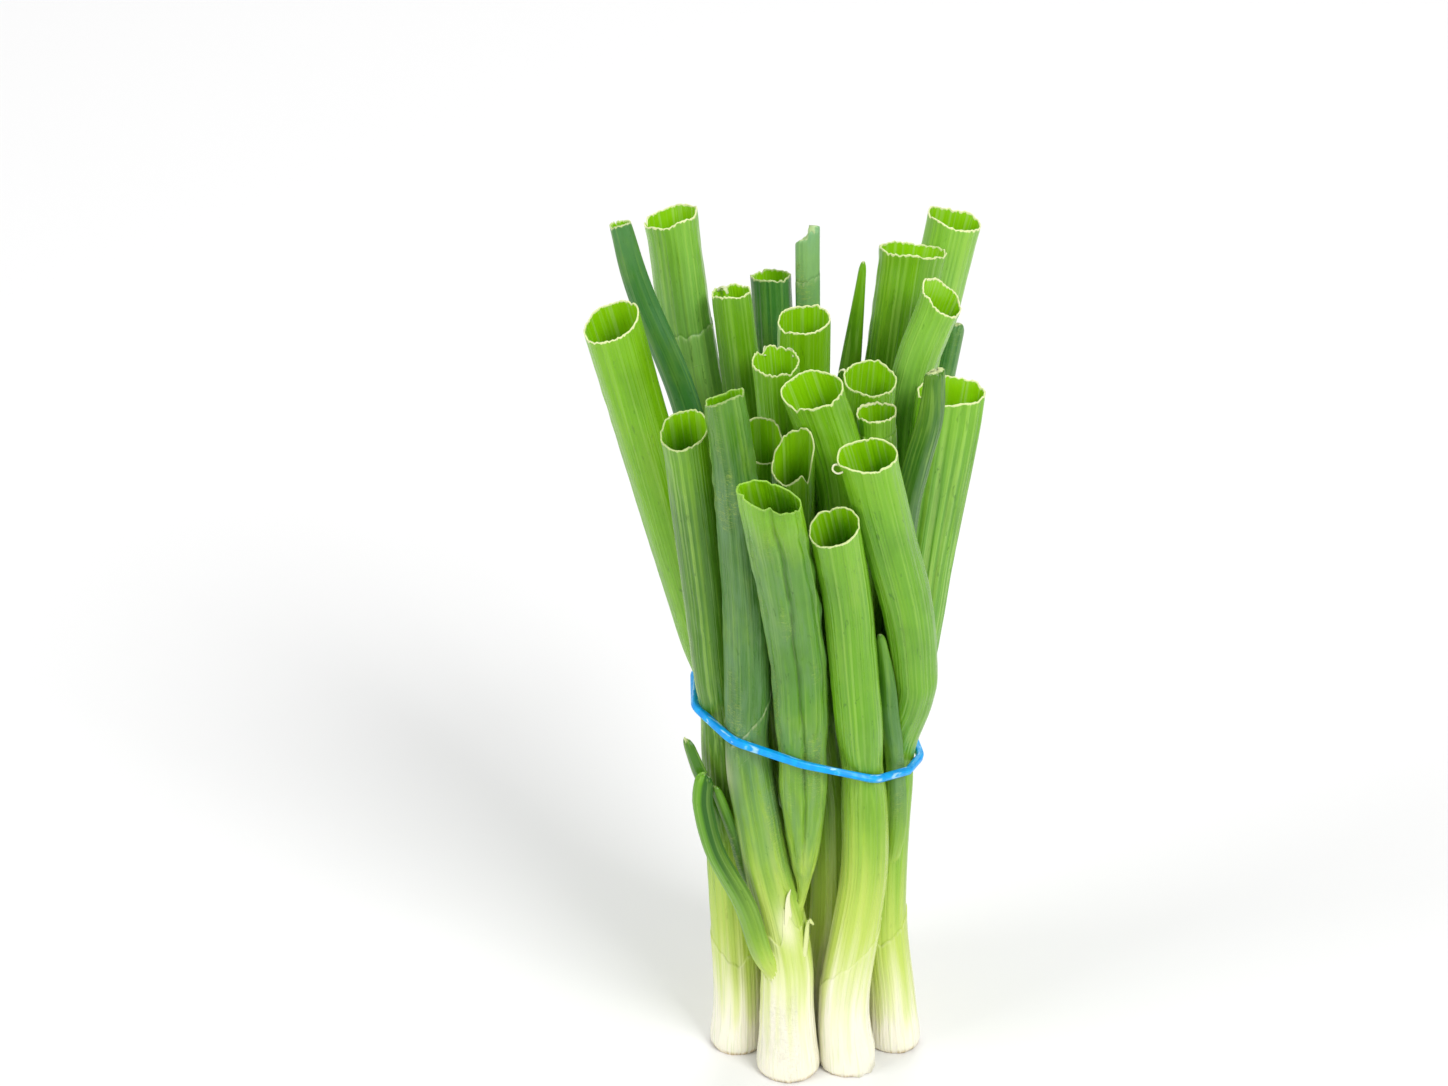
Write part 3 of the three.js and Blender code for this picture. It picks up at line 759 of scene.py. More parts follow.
# %% [markdown]
# ## Rolling the sheet
#
# Rolled up, a sheet becomes a leaf: its angle leads round the centre line, and its row along it. A blade is
# folded a little along its keel and closed at its tip. What is kept for the material is where a point would
# be if the leaf stood straight, how high it has grown, and how far it is from the cut and from a sheath edge.
# Near its root a side leaf looks like its shank.

# %% Roll the shoots
RIM_WALL = 0.4
DEEP_WALL = 0.75
CUT_ZONE = 25.0
KEEL = 0.28
NARROW_ROOT = 0.38
ROOT_LENGTH = 40.0
FOOT_ROUND = 1.8
FOOT_INSET = 0.7
FOOT_BULGE = 0.25
LIP = (-0.2, 0.4)
LIP_REACH = 2.5
TWIST = 0.002
BLADE_DENTS = 0.25
SHADE_SPREAD = 0.05


def half_at(shoot, s):
    """Half the width and thickness at the distances s. A side leaf starts narrow, inside its shank."""
    half = read(shoot, "half", s)
    if shoot["parent"] is None:
        return half
    wide = step(s, 2, min(ROOT_LENGTH, 0.3 * shoot["length"]))
    return half * (NARROW_ROOT + (1 - NARROW_ROOT) * wide)[..., None]


def roll_sheet(shoot, number):
    """The rolled sheet of one shoot, with what its material needs."""
    rng = np.random.default_rng(1000 + number)
    length, grown = shoot["length"], shoot["parent"] is None
    lines = sheath_lines(shoot, rng)
    row_s, depth, flat = sheet_rows(shoot, lines)
    mesh, angle, row = flat_sheet(f"shoot_{number}", BLADE_COLUMNS if flat else COLUMNS, len(row_s))
    s, wall = row_s[row], depth[row]
    shift, proud, to_sheath, lighter, riper = sheath_marks(lines, angle, s, wall == 0)
    lift = cut_line(shoot, angle, rng)
    s = s + shift + lift * step(s, length - CUT_ZONE, length)
    to_cut = length + lift - s
    around = angle + rng.uniform(-TWIST, TWIST) * s
    half = half_at(shoot, s)
    proud = proud + dents(shoot, around, s, rng)
    proud += rng.uniform(*LIP) * bell(to_cut, LIP_REACH) * (not flat)
    if grown:
        proud += FOOT_BULGE * bell(s - 4, 3.5)
        proud -= FOOT_INSET * np.clip(1 - s / FOOT_ROUND, 0, 1) ** 2
    thick = RIM_WALL + (DEEP_WALL - RIM_WALL) * step(to_cut, 1, 18)
    if flat:
        proud *= BLADE_DENTS
        closing = np.clip((length - row_s[row]) / shoot.get("blunt", 3), 0, 1)
        half = half * np.sqrt(1 - (1 - closing) ** 2)[:, None].clip(0.12)
    x = (half[:, 0] + proud - wall * thick) * np.cos(around)
    y = (half[:, 1] + proud - wall * thick) * np.sin(around)
    if flat:
        y -= KEEL * half[:, 0] * (np.abs(np.cos(around)) - 0.4)
    over = np.maximum(s - length, 0)[:, None] * shoot["along"][-1]
    where = (read(shoot, "centre", s) + over + x[:, None] * read(shoot, "across", s)
             + y[:, None] * read(shoot, "out", s))
    if grown:
        foot = 0.35 + 0.3 * sum_waves(waves(rng, 9, (3, 23), (0, 0)), angle, 0)
        where[:, 2] = np.where(row == 0, np.maximum(foot, 0), where[:, 2])
    place(mesh, where)

    look = LOOKS[shoot["look"]]
    own = 1.0 if grown else step(s, 8, 48)
    parent = look if grown else LOOKS[shoot["parent"][0]["look"]]
    tone, bloom, warm, faded = (parent[k] + (look[k] - parent[k]) * own
                                for k in ("tone", "bloom", "warm", "pale"))
    patches = sum((amount * bell(s - at, long) * bell(turned_from(angle, turned), wide)
                   for at, turned, long, wide, amount in shoot.get("pale", [])), np.zeros(len(s)))
    # Painted shade on one half of the leaf where the share is positive, painted highlight where it is
    # negative; a positive share also thins the bloom on that half.
    split = shoot.get("two_tone", 0) * step(np.cos(around), -0.15, 0.25)
    shade = rng.uniform(-SHADE_SPREAD, SHADE_SPREAD)
    start = 0 if grown else shoot["centre"][0, 2]
    ripe = shoot.get("ripe", 0) * (step(s, 5, 14) if grown else step(s, 0, 30))
    radius = half.mean(1)
    keep(mesh,
         straight=(radius * np.cos(angle) / 10, radius * np.sin(angle) / 10, s / 10 + 40 * number),
         growth=(start + s + riper + ripe, to_cut, wall > 0.7),
         skin=(tone + shade + split * own, bloom * (1 - np.clip(split, 0, 0.8)), warm),
         detail=(look["rim"], patches, look["veins"]),
         sheath=(to_sheath, lighter + faded, look["tip"]))
    return mesh


sheets = [roll_sheet(shoot, number) for number, shoot in enumerate(shoots)]
print(len(sheets), "rolled sheets with", sum(len(sheet.vertices) for sheet in sheets), "points")

# %% [markdown]
# ## Closing the sheets
#
# Then the sheet is welded along its seam, and its open ends are filled. At the foot the edge is first
# drawn inwards again and again, up and down in turn, which gives the cut root end its layers, one in the
# other, as in any onion.

# %% Weld, layer and fill
FOOT_LAYERS = ((0.93, 0.0), (0.86, 0.35), (0.74, 0.3), (0.71, 0.0), (0.6, 0.05), (0.56, 0.4),
               (0.42, 0.3), (0.39, 0.0), (0.22, 0.1), (0.1, 0.05))
WELD = 1e-7


def layer_foot(bm):
    """Draws the open edge at the foot inwards, ring by ring, to the heart of the shank."""
    edges = [e for e in bm.edges if e.is_boundary and e.verts[0].co.z < 3 * MM]
    points = {v for e in edges for v in e.verts}
    heart = sum((v.co for v in points), Vector()) / len(points)
    before = 1.0
    for share, height in FOOT_LAYERS:
        made = bmesh.ops.extrude_edge_only(bm, edges=edges)["geom"]
        edges = [g for g in made if isinstance(g, bmesh.types.BMEdge)]
        for v in {v for e in edges for v in e.verts}:
            away = (v.co - heart).xy * (share / before)
            v.co = (heart.x + away.x, heart.y + away.y, height * MM)
        before = share


def close_sheet(mesh, rooted):
    """Welds the seam, layers the foot, fills the ends and turns the faces outwards."""
    with editing(mesh) as bm:
        bmesh.ops.remove_doubles(bm, verts=bm.verts, dist=WELD)
        if rooted:
            layer_foot(bm)
        filled = bmesh.ops.holes_fill(bm, edges=[e for e in bm.edges if e.is_boundary])["faces"]
        bmesh.ops.triangulate(bm, faces=filled)
        bmesh.ops.recalc_face_normals(bm, faces=bm.faces)
        if bm.calc_volume(signed=True) < 0:
            bmesh.ops.reverse_faces(bm, faces=bm.faces)


def to_corners(mesh):
    """Moves the stored vectors from points to face corners, which survive a union."""
    corner = np.zeros(len(mesh.loops), np.int32)
    mesh.loops.foreach_get("vertex_index", corner)
    for name in ("straight", "growth", "skin", "detail", "sheath"):
        values = np.zeros(len(mesh.vertices) * 3, np.float32)
        mesh.attributes[name].data.foreach_get("vector", values)
        mesh.attributes.remove(mesh.attributes[name])
        layer = mesh.attributes.new(name, "FLOAT_VECTOR", "CORNER")
        layer.data.foreach_set("vector", values.reshape(-1, 3)[corner].ravel())


def closed(mesh, rooted=False):
    """Closes a sheet and puts it into the scene."""
    close_sheet(mesh, rooted)
    to_corners(mesh)
    return add_object(mesh.name, mesh)


parts = {name: [] for name in ONIONS}
for sheet, shoot in zip(sheets, shoots):
    parts[shoot["onion"]].append(closed(sheet, shoot["parent"] is None))
print("closed shoots of each onion:", [len(pieces) for pieces in parts.values()])

# %% [markdown]
# ## Torn skins and fibres
#
# Where a leaf was pulled off, dry paper stays behind, and a cut rim may keep a curled fibre. Each is a
# narrow strip that grows on one shoot of an onion. It has an amount of paper and a path on that shoot:
# distance along it (from the cut if small), angle round it, height over the skin, half width and half
# thickness. It is rolled like a leaf and joined to it.

# %% Strips
STRIPS = [
    ("onion_front_left", 0, 0.8, [
        (50, 48, -0.5, 1.5, 0.3), (54, 44, 0.1, 1.3, 0.28), (57.5, 40, 0.5, 0.9, 0.22),
        (60, 36, 1, 0.6, 0.18), (62, 30, 1.7, 0.15, 0.12)]),
    ("onion_front_left", 0, 0.35, [
        (38, 22, -0.8, 1.3, 0.6), (44, 14, 0.5, 1.2, 0.6), (48, 8, 1.3, 0.9, 0.5),
        (50, 8, 2.4, 0.7, 0.45), (48.6, 6, 3.2, 0.3, 0.3)]),
    ("onion_right_front", 0, 0.9, [
        (-1.5, 186, -0.3, 0.28, 0.28), (0.3, 184, 0.3, 0.26, 0.26), (0.9, 182, 1.4, 0.24, 0.24),
        (0.2, 176, 2.1, 0.24, 0.24), (-0.6, 168, 1.5, 0.24, 0.24), (-0.5, 162, 0.3, 0.24, 0.24)]),
    ("onion_centre_back", 0, 0.8, [
        (-0.9, 238, -0.3, 0.45, 0.22), (0.3, 240, 0.3, 0.4, 0.22), (0.9, 244, 1.1, 0.3, 0.18),
        (0.4, 249, 1.9, 0.2, 0.14)]),
    ("onion_centre_back", 0, 0.8, [
        (-0.9, 320, -0.3, 0.4, 0.22), (0.5, 318, 0.1, 0.35, 0.2), (1.5, 314, -0.5, 0.28, 0.18),
        (1.8, 309, -1.3, 0.18, 0.14)]),
    ("onion_centre_back", 1, 0.7, [
        (-0.6, 205, -0.4, 0.6, 0.3), (0.2, 212, -1.2, 0.7, 0.3), (0.1, 222, -2.3, 0.6, 0.3),
        (-1.2, 228, -2.9, 0.4, 0.25)]),
    ("onion_right_back", 0, 0.8, [
        (-0.9, 215, -0.3, 0.45, 0.24), (0.2, 213, 0.4, 0.4, 0.24), (0.2, 209, 1.2, 0.3, 0.2),
        (-0.6, 205, 1.7, 0.2, 0.14)]),
    ("onion_left_front", 0, 0.4, [
        (-1.4, -12, -0.3, 0.5, 0.25), (-0.5, -14, 0.8, 0.5, 0.25), (-0.3, -16, 2.2, 0.2, 0.15)]),
]
STRIP_COLUMNS = 16
STRIP_FINE = 12
FROM_THE_CUT = 15


def strip_rows(path, host):
    """The strip's rows laid along its path, and the way its flat side looks."""
    rows = []
    for at, turned, high, a, b in path:
        s = at if at > FROM_THE_CUT else host["length"] + at
        angle = math.radians(turned)
        half, centre, across, out = (
            value[0] for value in (half_at(host, np.array([s])), *(
                read(host, key, np.array([s])) for key in ("centre", "across", "out"))))
        foot = centre + max(s - host["length"], 0) * host["along"][-1]
        spot = foot + (half[0] + high) * math.cos(angle) * across + (half[1] + high) * math.sin(angle) * out
        rows.append((*spot, a, b))
    away = np.array(rows)[:, :2].mean(0) - centre[:2]
    return np.array(rows), math.atan2(away[1], away[0])


def make_strip(name, paper, path, host):
    """The mesh of one strip: a closed blade with the colours of dry paper."""
    rows, face = strip_rows(path, host)
    fine = refine(rows, STRIP_FINE)
    along, out, across = directions(fine[:, :3], face, False)
    mesh, angle, row = flat_sheet(name, STRIP_COLUMNS, len(fine))
    place(mesh, fine[row, :3] + (fine[row, 3] * np.cos(angle))[:, None] * across[row]
          + (fine[row, 4] * np.sin(angle))[:, None] * out[row])
    keep(mesh, straight=(np.cos(angle) / 10, np.sin(angle) / 10, row / 40 - 100),
         growth=(fine[row, 2], NO_EDGE, 0), skin=(0.1, 0.1, 0.8), detail=(1, paper, 0.3),
         sheath=(NO_EDGE, 0, 0))
    return mesh


for k, (name, number, paper, path) in enumerate(STRIPS):
    host = [shoot for shoot in shoots if shoot["onion"] == name][number]
    parts[name].append(closed(make_strip(f"strip_{k}", paper, path, host)))
print(len(STRIPS), "strips")

# %% [markdown]
# ## One onion is one grown body
#
# The side leaves are joined to their shank with a Boolean union. The manifold solver is quick and keeps
# the vectors that the sheet stored at its face corners, so the veins run on over the joint. A leaf has
# grown out of its shank, so the seams are then rounded, most at the seam and less around it.

# %% Grow the onions
JOINT_RINGS = 4
SLIVER = 0.000002


def union(pieces):
    """Joins the pieces into the first one and removes the others."""
    whole = pieces[0]
    for side in pieces[1:]:
        join = whole.modifiers.new(side.name, "BOOLEAN")
        join.operation = "UNION"
        join.solver = "MANIFOLD"
        join.object = side
    evaluated = whole.evaluated_get(bpy.context.evaluated_depsgraph_get())
    mesh = bpy.data.meshes.new_from_object(evaluated)
    for piece in pieces:
        old = piece.data
        bpy.data.objects.remove(piece)
        bpy.data.meshes.remove(old)
    return mesh


def round_joints(mesh):
    """Rounds the seams between the shoots of one onion. Strips keep their sharp seams."""
    with editing(mesh) as bm:
        layer = bm.loops.layers.float_vector["straight"]
        owner = {face: math.floor((face.loops[0][layer].z + 2) / 40) for face in bm.faces}
        near = set()
        for v in bm.verts:
            owners = {owner[face] for face in v.link_faces}
            if len(owners) > 1 and min(owners) >= 0:
                near.add(v)
        rings = [list(near)]
        for _ in range(JOINT_RINGS):
            near |= {e.other_vert(v) for v in near for e in v.link_edges}
            rings.append(list(near))
        for ring in reversed(rings):
            for _ in range(2):
                bmesh.ops.smooth_vert(bm, verts=ring, factor=0.5, use_axis_x=True,
                                      use_axis_y=True, use_axis_z=True)
        bmesh.ops.remove_doubles(bm, verts=bm.verts, dist=SLIVER)


def grow_onion(name):
    """One onion as one closed, smooth-shaded piece that stands for its solid."""
    mesh = union(parts[name])
    round_joints(mesh)
    mesh.name = f"fresh_{name}"
    mesh.materials.clear()
    mesh.shade_smooth()
    piece = add_object(f"fresh_{name}", mesh)
    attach(piece, "root")
    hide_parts(name)
    print(piece.name, len(mesh.polygons), "faces")
    return piece


onions = [grow_onion(name) for name in ONIONS]

# %% [markdown]
# ## Small tools for materials
#
# Shader trees are long to write out. A `Value` stands for one output in a tree, and reckoning with it adds
# the math nodes, so that a recipe reads like a formula. The helpers below it add one node each. `srgb`
# takes a colour as a painter would pick it from a screen.

# %% Material helpers
def srgb(red, green, blue):
    """A screen colour from 0 to 255 as the linear colour that a shader takes."""
    def linear(value):
        value /= 255
        return value / 12.92 if value <= 0.04045 else ((value + 0.055) / 1.055) ** 2.4
    return (linear(red), linear(green), linear(blue), 1)


def feed(socket, value):
    """Links a value to a socket, or sets a plain one."""
    if isinstance(value, Value):
        value.tree.links.new(value.output, socket)
    else:
        socket.default_value = value


def add_node(tree, kind, inputs, out=0, **settings):
    """Adds a node, sets and feeds it, and gives one of its outputs."""
    node = tree.nodes.new("ShaderNode" + kind)
    for name, setting in settings.items():
        setattr(node, name, setting)
    for key, value in inputs.items():
        feed(node.inputs[key], value)
    return Value(tree, node.outputs[out])


class Value:
    """An output in a node tree that can be reckoned with."""

    def __init__(self, tree, output):
        self.tree, self.output = tree, output

    def math(self, operation, *values, clamp=False):
        return add_node(self.tree, "Math", dict(enumerate(values)), operation=operation, use_clamp=clamp)

    def __add__(self, other):
        return self.math("ADD", self, other)

    def __sub__(self, other):
        return self.math("SUBTRACT", self, other)

    def __rsub__(self, other):
        return self.math("SUBTRACT", other, self)

    def __mul__(self, other):
        return self.math("MULTIPLY", self, other)


def mix(share, one, other):
    """A share of the other colour over the one."""
    tree = (share if isinstance(share, Value) else one).tree
    return add_node(tree, "Mix", {0: share, 6: one, 7: other}, out=2, data_type="RGBA")


def ramp(value, low, high, to_low=0.0, to_high=1.0):
    """A smooth step of the value from low to high."""
    inputs = dict(enumerate((value, low, high, to_low, to_high)))
    return add_node(value.tree, "MapRange", inputs, interpolation_type="SMOOTHSTEP")


def noise(vector, scale, shift=(0, 0, 0), detail=2.0, rough=0.5, twist=0.0):
    """Noise that is stretched by its own scale along each axis."""
    place = add_node(vector.tree, "Mapping", {"Vector": vector, "Scale": scale, "Location": shift})
    inputs = {"Vector": place, "Scale": 1.0, "Detail": detail, "Roughness": rough, "Distortion": twist}
    return add_node(vector.tree, "TexNoise", inputs)


def attribute(tree, name):
    """The vector that the skin stored under a name, and its three numbers."""
    vector = add_node(tree, "Attribute", {}, out="Vector", attribute_name=name)
    split = tree.nodes.new("ShaderNodeSeparateXYZ")
    feed(split.inputs[0], vector)
    return [vector, *(Value(tree, output) for output in split.outputs)]


def bump(height, distance, strength, **before):
    inputs = {"Strength": strength, "Distance": distance, "Height": height, **before}
    return add_node(height.tree, "Bump", inputs)


def make_group(name, inputs, recipe):
    """A node group. The recipe turns its inputs into a dictionary of outputs."""
    group = bpy.data.node_groups.new(name, "ShaderNodeTree")
    for socket, kind in inputs.items():
        group.interface.new_socket(socket, in_out="INPUT", socket_type=kind)
    given = group.nodes.new("NodeGroupInput")
    made = recipe(*(Value(group, given.outputs[socket]) for socket in inputs))
    for socket in made:
        group.interface.new_socket(socket, in_out="OUTPUT", socket_type="NodeSocketFloat")
    out = group.nodes.new("NodeGroupOutput")
    for socket, value in made.items():
        feed(out.inputs[socket], value)
    print("node group", name, "puts out", ", ".join(made))
    return group


def use_group(tree, group, **values):
    """The outputs of a group that is fed with these values."""
    node = tree.nodes.new("ShaderNodeGroup")
    node.node_tree = group
    for name, value in values.items():
        feed(node.inputs[name], value)
    return {output.name: Value(tree, output) for output in node.outputs}


# %% [markdown]
# ## Veins
#
# The veins of a spring onion run straight up the leaf. The skin stored each point as if its leaf stood
# straight, so noise that is stretched along that leaf gives lines that follow every bend and close round
# the back. The group puts out broad bands, fine lines, pale stripes, and the height for the bump.

# %% Vein group
def leaf_veins(straight):
    bands = noise(straight, (3.2, 3.2, 0.09))
    lines = ramp(noise(straight, (12, 12, 0.12), detail=1.5), 0.33, 0.67)
    stripes = noise(straight, (13, 13, 0.06), (2, 5, 0), 1.0)
    hairs = noise(straight, (30, 30, 0.5), detail=1.0)
    return {"Bands": ramp(bands, 0.3, 0.7), "Lines": lines, "Stripes": ramp(stripes, 0.5, 0.66),
            "Height": lines * 0.65 + hairs * 0.35}


vein_group = make_group("leaf_veins", {"Straight": "NodeSocketVector"}, leaf_veins)

# %% [markdown]
# ## Bloom and rub marks
#
# A waxy grey bloom lies on the older leaves. Hands and neighbours have rubbed it off in streaks and specks,
# where the darker green shows. This group turns an amount of bloom into a mask of where it is left, and a
# second mask of small marks. Old skin also has fine cracks across the leaf.

# %% Bloom group
def waxy_bloom(straight, amount):
    streaks = noise(straight, (5, 5, 0.6), detail=5.0, rough=0.66, twist=0.3)
    patches = noise(straight, (1.1, 1.1, 0.3))
    bloom = ramp(streaks, 0.36, 0.62, 0.15, 1.0) * amount
    bloom = bloom.math("MULTIPLY", bloom, ramp(patches, 0.3, 0.6, 0.3, 1.0), clamp=True)
    specks = noise(straight, (10, 10, 2.2), (3, 1, 7), 3.0, 0.65, 0.8)
    across = noise(straight, (3, 3, 13), (1, 8, 2), 2.0, 0.5, 1.4)
    off_line = across.math("ABSOLUTE", across - 0.5)
    cracks = ramp(off_line, 0.035, 0.005) * ramp(patches, 0.5, 0.62) * ramp(amount, 0.35, 0.8)
    return {"Bloom": bloom, "Marks": ramp(specks, 0.62, 0.7), "Cracks": cracks}


bloom_group = make_group(
    "waxy_bloom", {"Straight": "NodeSocketVector", "Amount": "NodeSocketFloat"}, waxy_bloom)

# %% [markdown]
# ## The onion's colours
#
# One material serves every onion. Its colour starts white at the root, turns yellow-green and then green
# with the height above the ground, and the stored tone makes some leaves darker. The inside of a leaf has its
# own yellow-green, painted brighter for the light that comes through the thin wall and painted darker deeper
# down the hollow as shade. The cut rim is dry and almost white.

# %% Onion colours
WHITE = srgb(246, 242, 222)
CREAM = srgb(232, 236, 178)
PALE = srgb(196, 216, 98)
STRIPE = srgb(176, 218, 104)
YOUNG = srgb(150, 192, 52)
LEAF_WARM = srgb(121, 183, 6)
LEAF_COOL = srgb(70, 146, 62)
DEEP_WARM = srgb(44, 96, 4)
DEEP_COOL = srgb(18, 76, 44)
BLOOM = srgb(112, 146, 92)
BLOOM_COOL = srgb(100, 150, 110)
FADED = srgb(176, 226, 100)
FADED_COOL = srgb(156, 204, 150)
INSIDE_LIT_GREEN = srgb(142, 206, 10)
INSIDE_SHADED_GREEN = srgb(56, 116, 2)
TIP = srgb(128, 190, 10)
RIM = srgb(226, 234, 172)
PAPER = srgb(244, 240, 206)
TAN = srgb(190, 160, 104)
SHANK = ((22, 50, PALE), (42, 88, YOUNG))


def grown_colour(height, tone, warm, lighter, bands):
    """White, cream, pale, young and full green, one after the other up the shank."""
    tone = tone.math("SUBTRACT", tone, lighter * 0.1, clamp=True)
    leaf_green = mix(tone, mix(warm, LEAF_COOL, LEAF_WARM), mix(warm, DEEP_COOL, DEEP_WARM))
    leaf_green = mix(lighter * 0.6, leaf_green, mix(warm, FADED_COOL, FADED))
    height = height + (bands - 0.5) * 22
    colour = mix(ramp(height, 10, 32), WHITE, CREAM)
    for low, high, next_colour in (*SHANK, (58, 125, leaf_green)):
        colour = mix(ramp(height, low, high), colour, next_colour)
    return colour


print("the shank is green from", SHANK[0][0], "to", SHANK[-1][1], "mm up")

# %% [markdown]
# ## The onion's skin
#
# On top of that come, in this order: stripes and fine lines along the veins, the bloom with its rub marks
# and cracks, the fresher tip, blotches, the pale edge of each sheath with a painted shadow just above it,
# the inside of the hollow with its painted glow and shade, the cut rim, dry paper, and the tan edge of the
# root end. Each is a mask and a colour. A little light goes through the skin.

# %% Onion skin
ONION_SHADER = {"Specular IOR Level": 0.38, "Subsurface Weight": 0.1, "Subsurface Scale": 1.2 * MM,
                "Subsurface Radius": (0.9, 1.0, 0.3)}


def make_onion_skin():
    paint, skin = new_paint("onion_skin", ONION_SHADER)
    tree = paint.node_tree
    straight = attribute(tree, "straight")[0]
    _, height, to_cut, inside = attribute(tree, "growth")
    _, tone, bloom_amount, warm = attribute(tree, "skin")
    _, rim, paper, contrast = attribute(tree, "detail")
    _, to_sheath, lighter, tip = attribute(tree, "sheath")
    veins = use_group(tree, vein_group, Straight=straight)
    bloom = use_group(tree, bloom_group, Straight=straight, Amount=bloom_amount)
    bands, lines = veins["Bands"], veins["Lines"]
    green = ramp(height, 30, 110)
    worn = tone.math("MAXIMUM", ramp(to_cut, 6, 38), 0.7 - warm)
    left = bloom["Bloom"] * ramp(height, 45, 95) * worn
    blotch = noise(straight, (0.9, 0.9, 0.4), (7, 2, 0), 3.0, 0.6)
    edge = ramp(to_sheath, -1.6, -0.1) * ramp(to_sheath, 0.12, 0.0)
    # Painted shadow of the outer sheath: a darker band just above each sheath edge.
    sheath_shadow = ramp(to_sheath, 0.05, 0.2) * ramp(to_sheath, 1.1, 0.2) * green
    # The inside's own green, painted brighter near the cut for light through the thin wall, with painted
    # shade deeper down the hollow.
    hollow = mix(ramp(to_cut, 2, 32), INSIDE_LIT_GREEN, INSIDE_SHADED_GREEN)
    hollow = mix(veins["Stripes"] * 0.5, hollow, STRIPE)
    cut = ramp(to_cut - lines * 0.4, 0.3, 0.0) * (rim * 0.95 + 0.05)
    tan = ramp(height, 1.9, 0.1) * ramp(lines, 0.1, 0.9, 0.35, 1.0)

    colour = grown_colour(height, tone, warm, lighter, bands)
    dark_line = (1.0 - lines) * (green * 0.5 + 0.06) * contrast
    for mask, laid_on in (
            (dark_line, mix(0.5, colour, DEEP_WARM)),
            (ramp(lines, 0.75, 1.0) * contrast * 0.3, YOUNG),
            (veins["Stripes"] * contrast * green * 0.5, STRIPE),
            (left * 0.85, mix(warm, BLOOM_COOL, BLOOM)),
            (bloom["Marks"] * green * 0.5, DEEP_WARM),
            (bloom["Cracks"] * green * 0.5, PALE),
            (ramp(to_cut, 24, 3) * tip, TIP),
            (ramp(blotch, 0.5, 0.7) * green * 0.22, YOUNG),
            (ramp(blotch, 0.5, 0.3) * green * 0.2, DEEP_WARM),
            (edge * ramp(lines, 0.2, 0.9, 0.03, 0.22), PAPER),
            (sheath_shadow * 0.35, DEEP_WARM),
            (ramp(inside, 0.4, 0.6), hollow),
            (cut, RIM), (paper, PAPER), (tan * 0.8, TAN)):
        colour = mix(mask, colour, laid_on)
    feed(skin.inputs["Base Color"], colour)
    feed(skin.inputs["Roughness"], left * 0.32 + 0.22 + bands * 0.1)
    relief = bump(veins["Height"], 0.2 * MM, 0.9)
    pits = noise(straight, (18, 18, 7), detail=3.0, rough=0.6)
    relief = bump(pits, 0.05 * MM, 0.6, Normal=relief)
    feed(skin.inputs["Normal"], bump(bloom["Cracks"], 0.12 * MM, 0.6, Normal=relief))
    return paint


onion_skin = make_onion_skin()
for onion in onions:
    onion.data.materials.append(onion_skin)
print(onion_skin.name, "has", len(onion_skin.node_tree.nodes), "nodes")

# %% [markdown]
# ## The rubber band
#
# The band takes the shortest way round the shoots, which is their convex outline. For each direction we
# find the shoot that reaches out furthest at the band's height, lay the band's middle line just outside
# it, and space that line out evenly. It is then a rolled sheet too, closed at both of its seams. A real
# band has a flat section that twists a little as it is wound on.

# %% Band shape
BAND_THICKNESS = 2.2
BAND_CLEAR = 0.25
BAND_DIRECTIONS = 720
BAND_STEPS = 300
BAND_SIDES = 20
BAND_SQUARE = 0.1


def sections_at_band():
    """Centre, half sizes and directions of each shoot where it passes the band's plane."""
    found = []
    for shoot in shoots:
        over = above_band(shoot["centre"] - BUNCH_PLACE)
        crossing = np.nonzero((over[:-1] < 0) & (over[1:] >= 0))[0]
        if len(crossing):
            found.append([shoot[key][crossing[0]] for key in ("centre", "half", "across", "out")])
    return found


def band_line():
    """The band's middle line, evenly spaced, and its length."""
    sections = sections_at_band()
    points = []
    for k in range(BAND_DIRECTIONS):
        turn = TURN * k / BAND_DIRECTIONS
        u = np.array([math.cos(turn), math.sin(turn), 0])
        reaches = [math.hypot(half[0] * (u @ across), half[1] * (u @ out))
                   for _, half, across, out in sections]
        best = max(range(len(sections)), key=lambda i: sections[i][0] @ u + reaches[i])
        centre, half, across, out = sections[best]
        edge = (half[0] ** 2 * (u @ across) * across + half[1] ** 2 * (u @ out) * out) / reaches[best]
        points.append(centre + edge + (BAND_THICKNESS / 2 + BAND_CLEAR) * u)
    points = np.array(points + [points[0]])
    points[:, 2] = BAND_HEIGHT + BAND_SLOPE * (points[:, 0] - BUNCH_PLACE[0])
    run = np.concatenate([[0], np.cumsum(np.linalg.norm(np.diff(points, axis=0), axis=1))])
    even = np.linspace(0, run[-1], BAND_STEPS + 1)
    return np.stack([np.interp(even, run, points[:, k]) for k in range(3)], 1), run[-1]


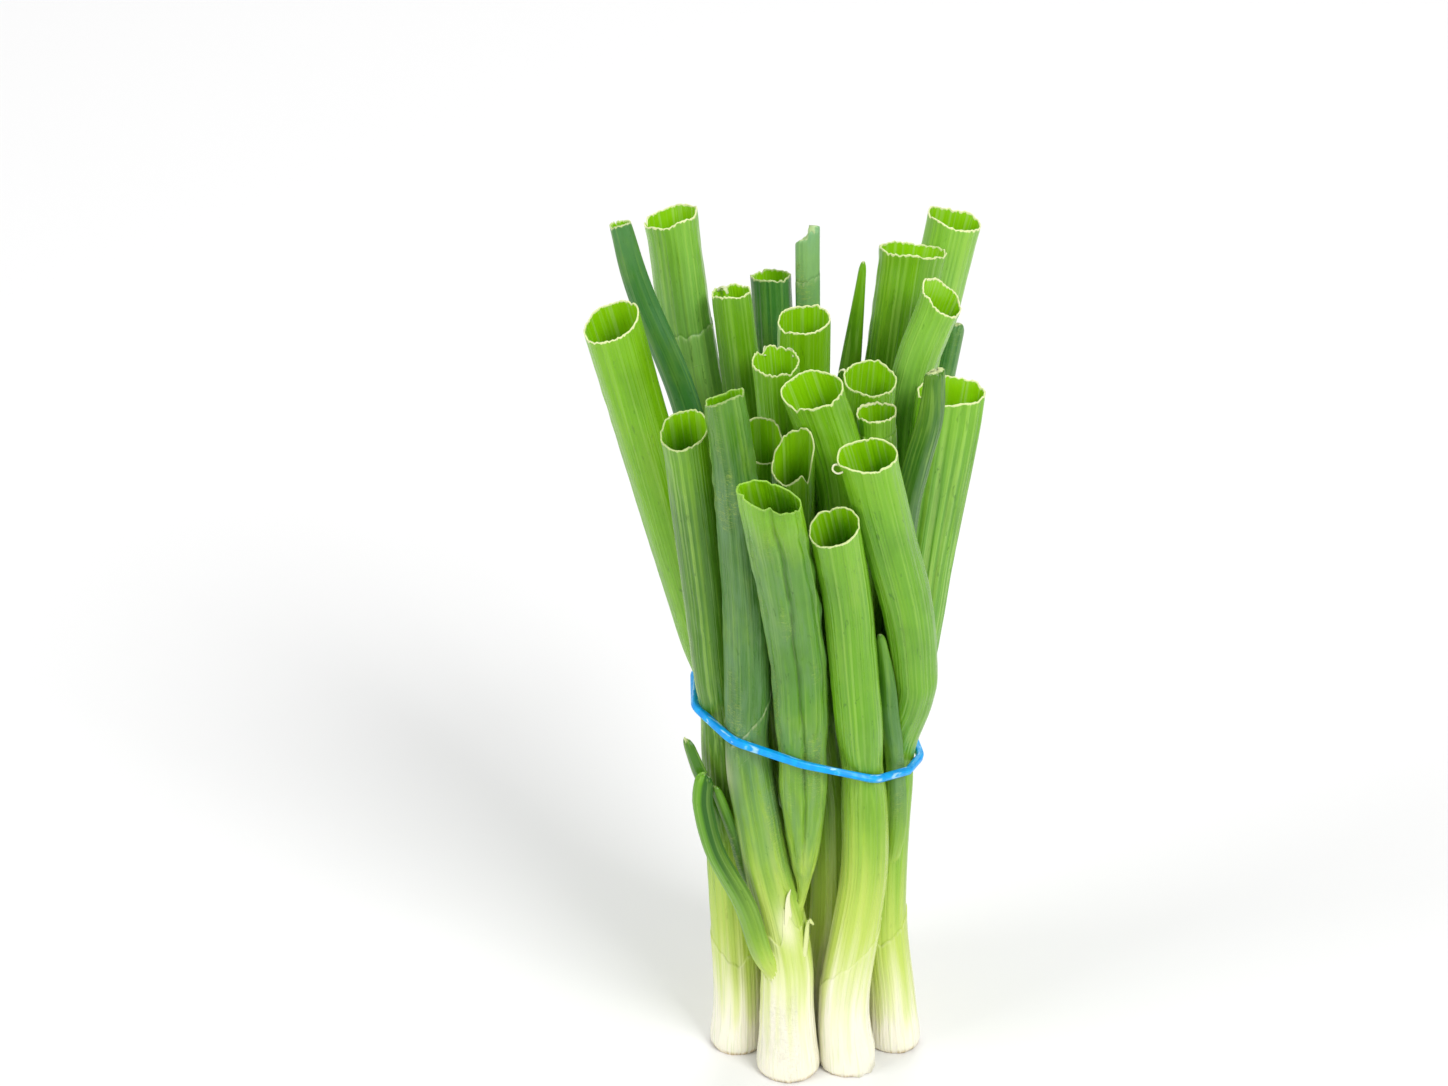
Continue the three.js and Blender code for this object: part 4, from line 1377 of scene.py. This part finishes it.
def make_band():
    """The closed band, with a rounded square section that twists as it goes round."""
    line, length = band_line()
    mesh, angle, row = flat_sheet("blue_rubber_band", BAND_SIDES, BAND_STEPS + 1)
    row = row % BAND_STEPS
    middle = line[:-1]
    along = unit(np.roll(middle, -1, 0) - np.roll(middle, 1, 0))
    out = unit(np.cross(along, (0, 0, 1)))
    up = np.cross(out, along)
    turn = row / BAND_STEPS * TURN
    roll = 0.5 * np.sin(turn + 0.6) + 0.35 * np.sin(2 * turn + 2)
    square = 1 + BAND_SQUARE * np.cos(4 * (angle - roll))
    radius = BAND_THICKNESS / 2 * square * (1 + 0.025 * np.sin(3 * turn + 1))
    place(mesh, middle[row] + (radius * np.cos(angle))[:, None] * out[row]
          + (radius * np.sin(angle))[:, None] * up[row])
    keep(mesh, straight=(np.cos(angle), 20 * np.cos(turn), 20 * np.sin(turn)))
    with editing(mesh) as bm:
        bmesh.ops.remove_doubles(bm, verts=bm.verts, dist=WELD)
        bmesh.ops.recalc_face_normals(bm, faces=bm.faces)
    mesh.shade_smooth()
    band = add_object("blue_rubber_band", mesh)
    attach(band, "root")
    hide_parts("rubber_band")
    print("the band is", round(length), "mm round and has", len(mesh.polygons), "faces")
    return band


band = make_band()

# %% [markdown]
# ## The rubber
#
# The rubber is a clear azure, a little dusty, with pale streaks of painted highlight along it.

# %% Band rubber
BLUE = srgb(0, 172, 244)
BLUE_DARK = srgb(0, 150, 234)
STREAK_HIGHLIGHT = srgb(176, 226, 252)
CLOUD_SCALE = 0.9


def make_rubber():
    paint, skin = new_paint("blue_rubber", {"Specular IOR Level": 0.35})
    straight = attribute(paint.node_tree, "straight")[0]
    cloud = add_node(paint.node_tree, "TexNoise", {"Vector": straight, "Scale": CLOUD_SCALE, "Detail": 3.0})
    sheen_streaks = noise(straight, (1.6, 0.3, 0.3), (5, 2, 1), 2.0, 0.5, 0.5)
    colour = mix(ramp(cloud, 0.3, 0.7), BLUE, BLUE_DARK)
    # Painted highlight: pale streaks along the band, from the same noise that gives its faint bump.
    colour = mix(ramp(sheen_streaks, 0.6, 0.68) * 0.75, colour, STREAK_HIGHLIGHT)
    feed(skin.inputs["Base Color"], colour)
    feed(skin.inputs["Roughness"], ramp(cloud, 0.2, 0.8, 0.28, 0.46))
    feed(skin.inputs["Normal"], bump(sheen_streaks, 0.03 * MM, 0.5))
    return paint


band.data.materials.append(make_rubber())
print(band.name, "is painted", band.data.materials[0].name)
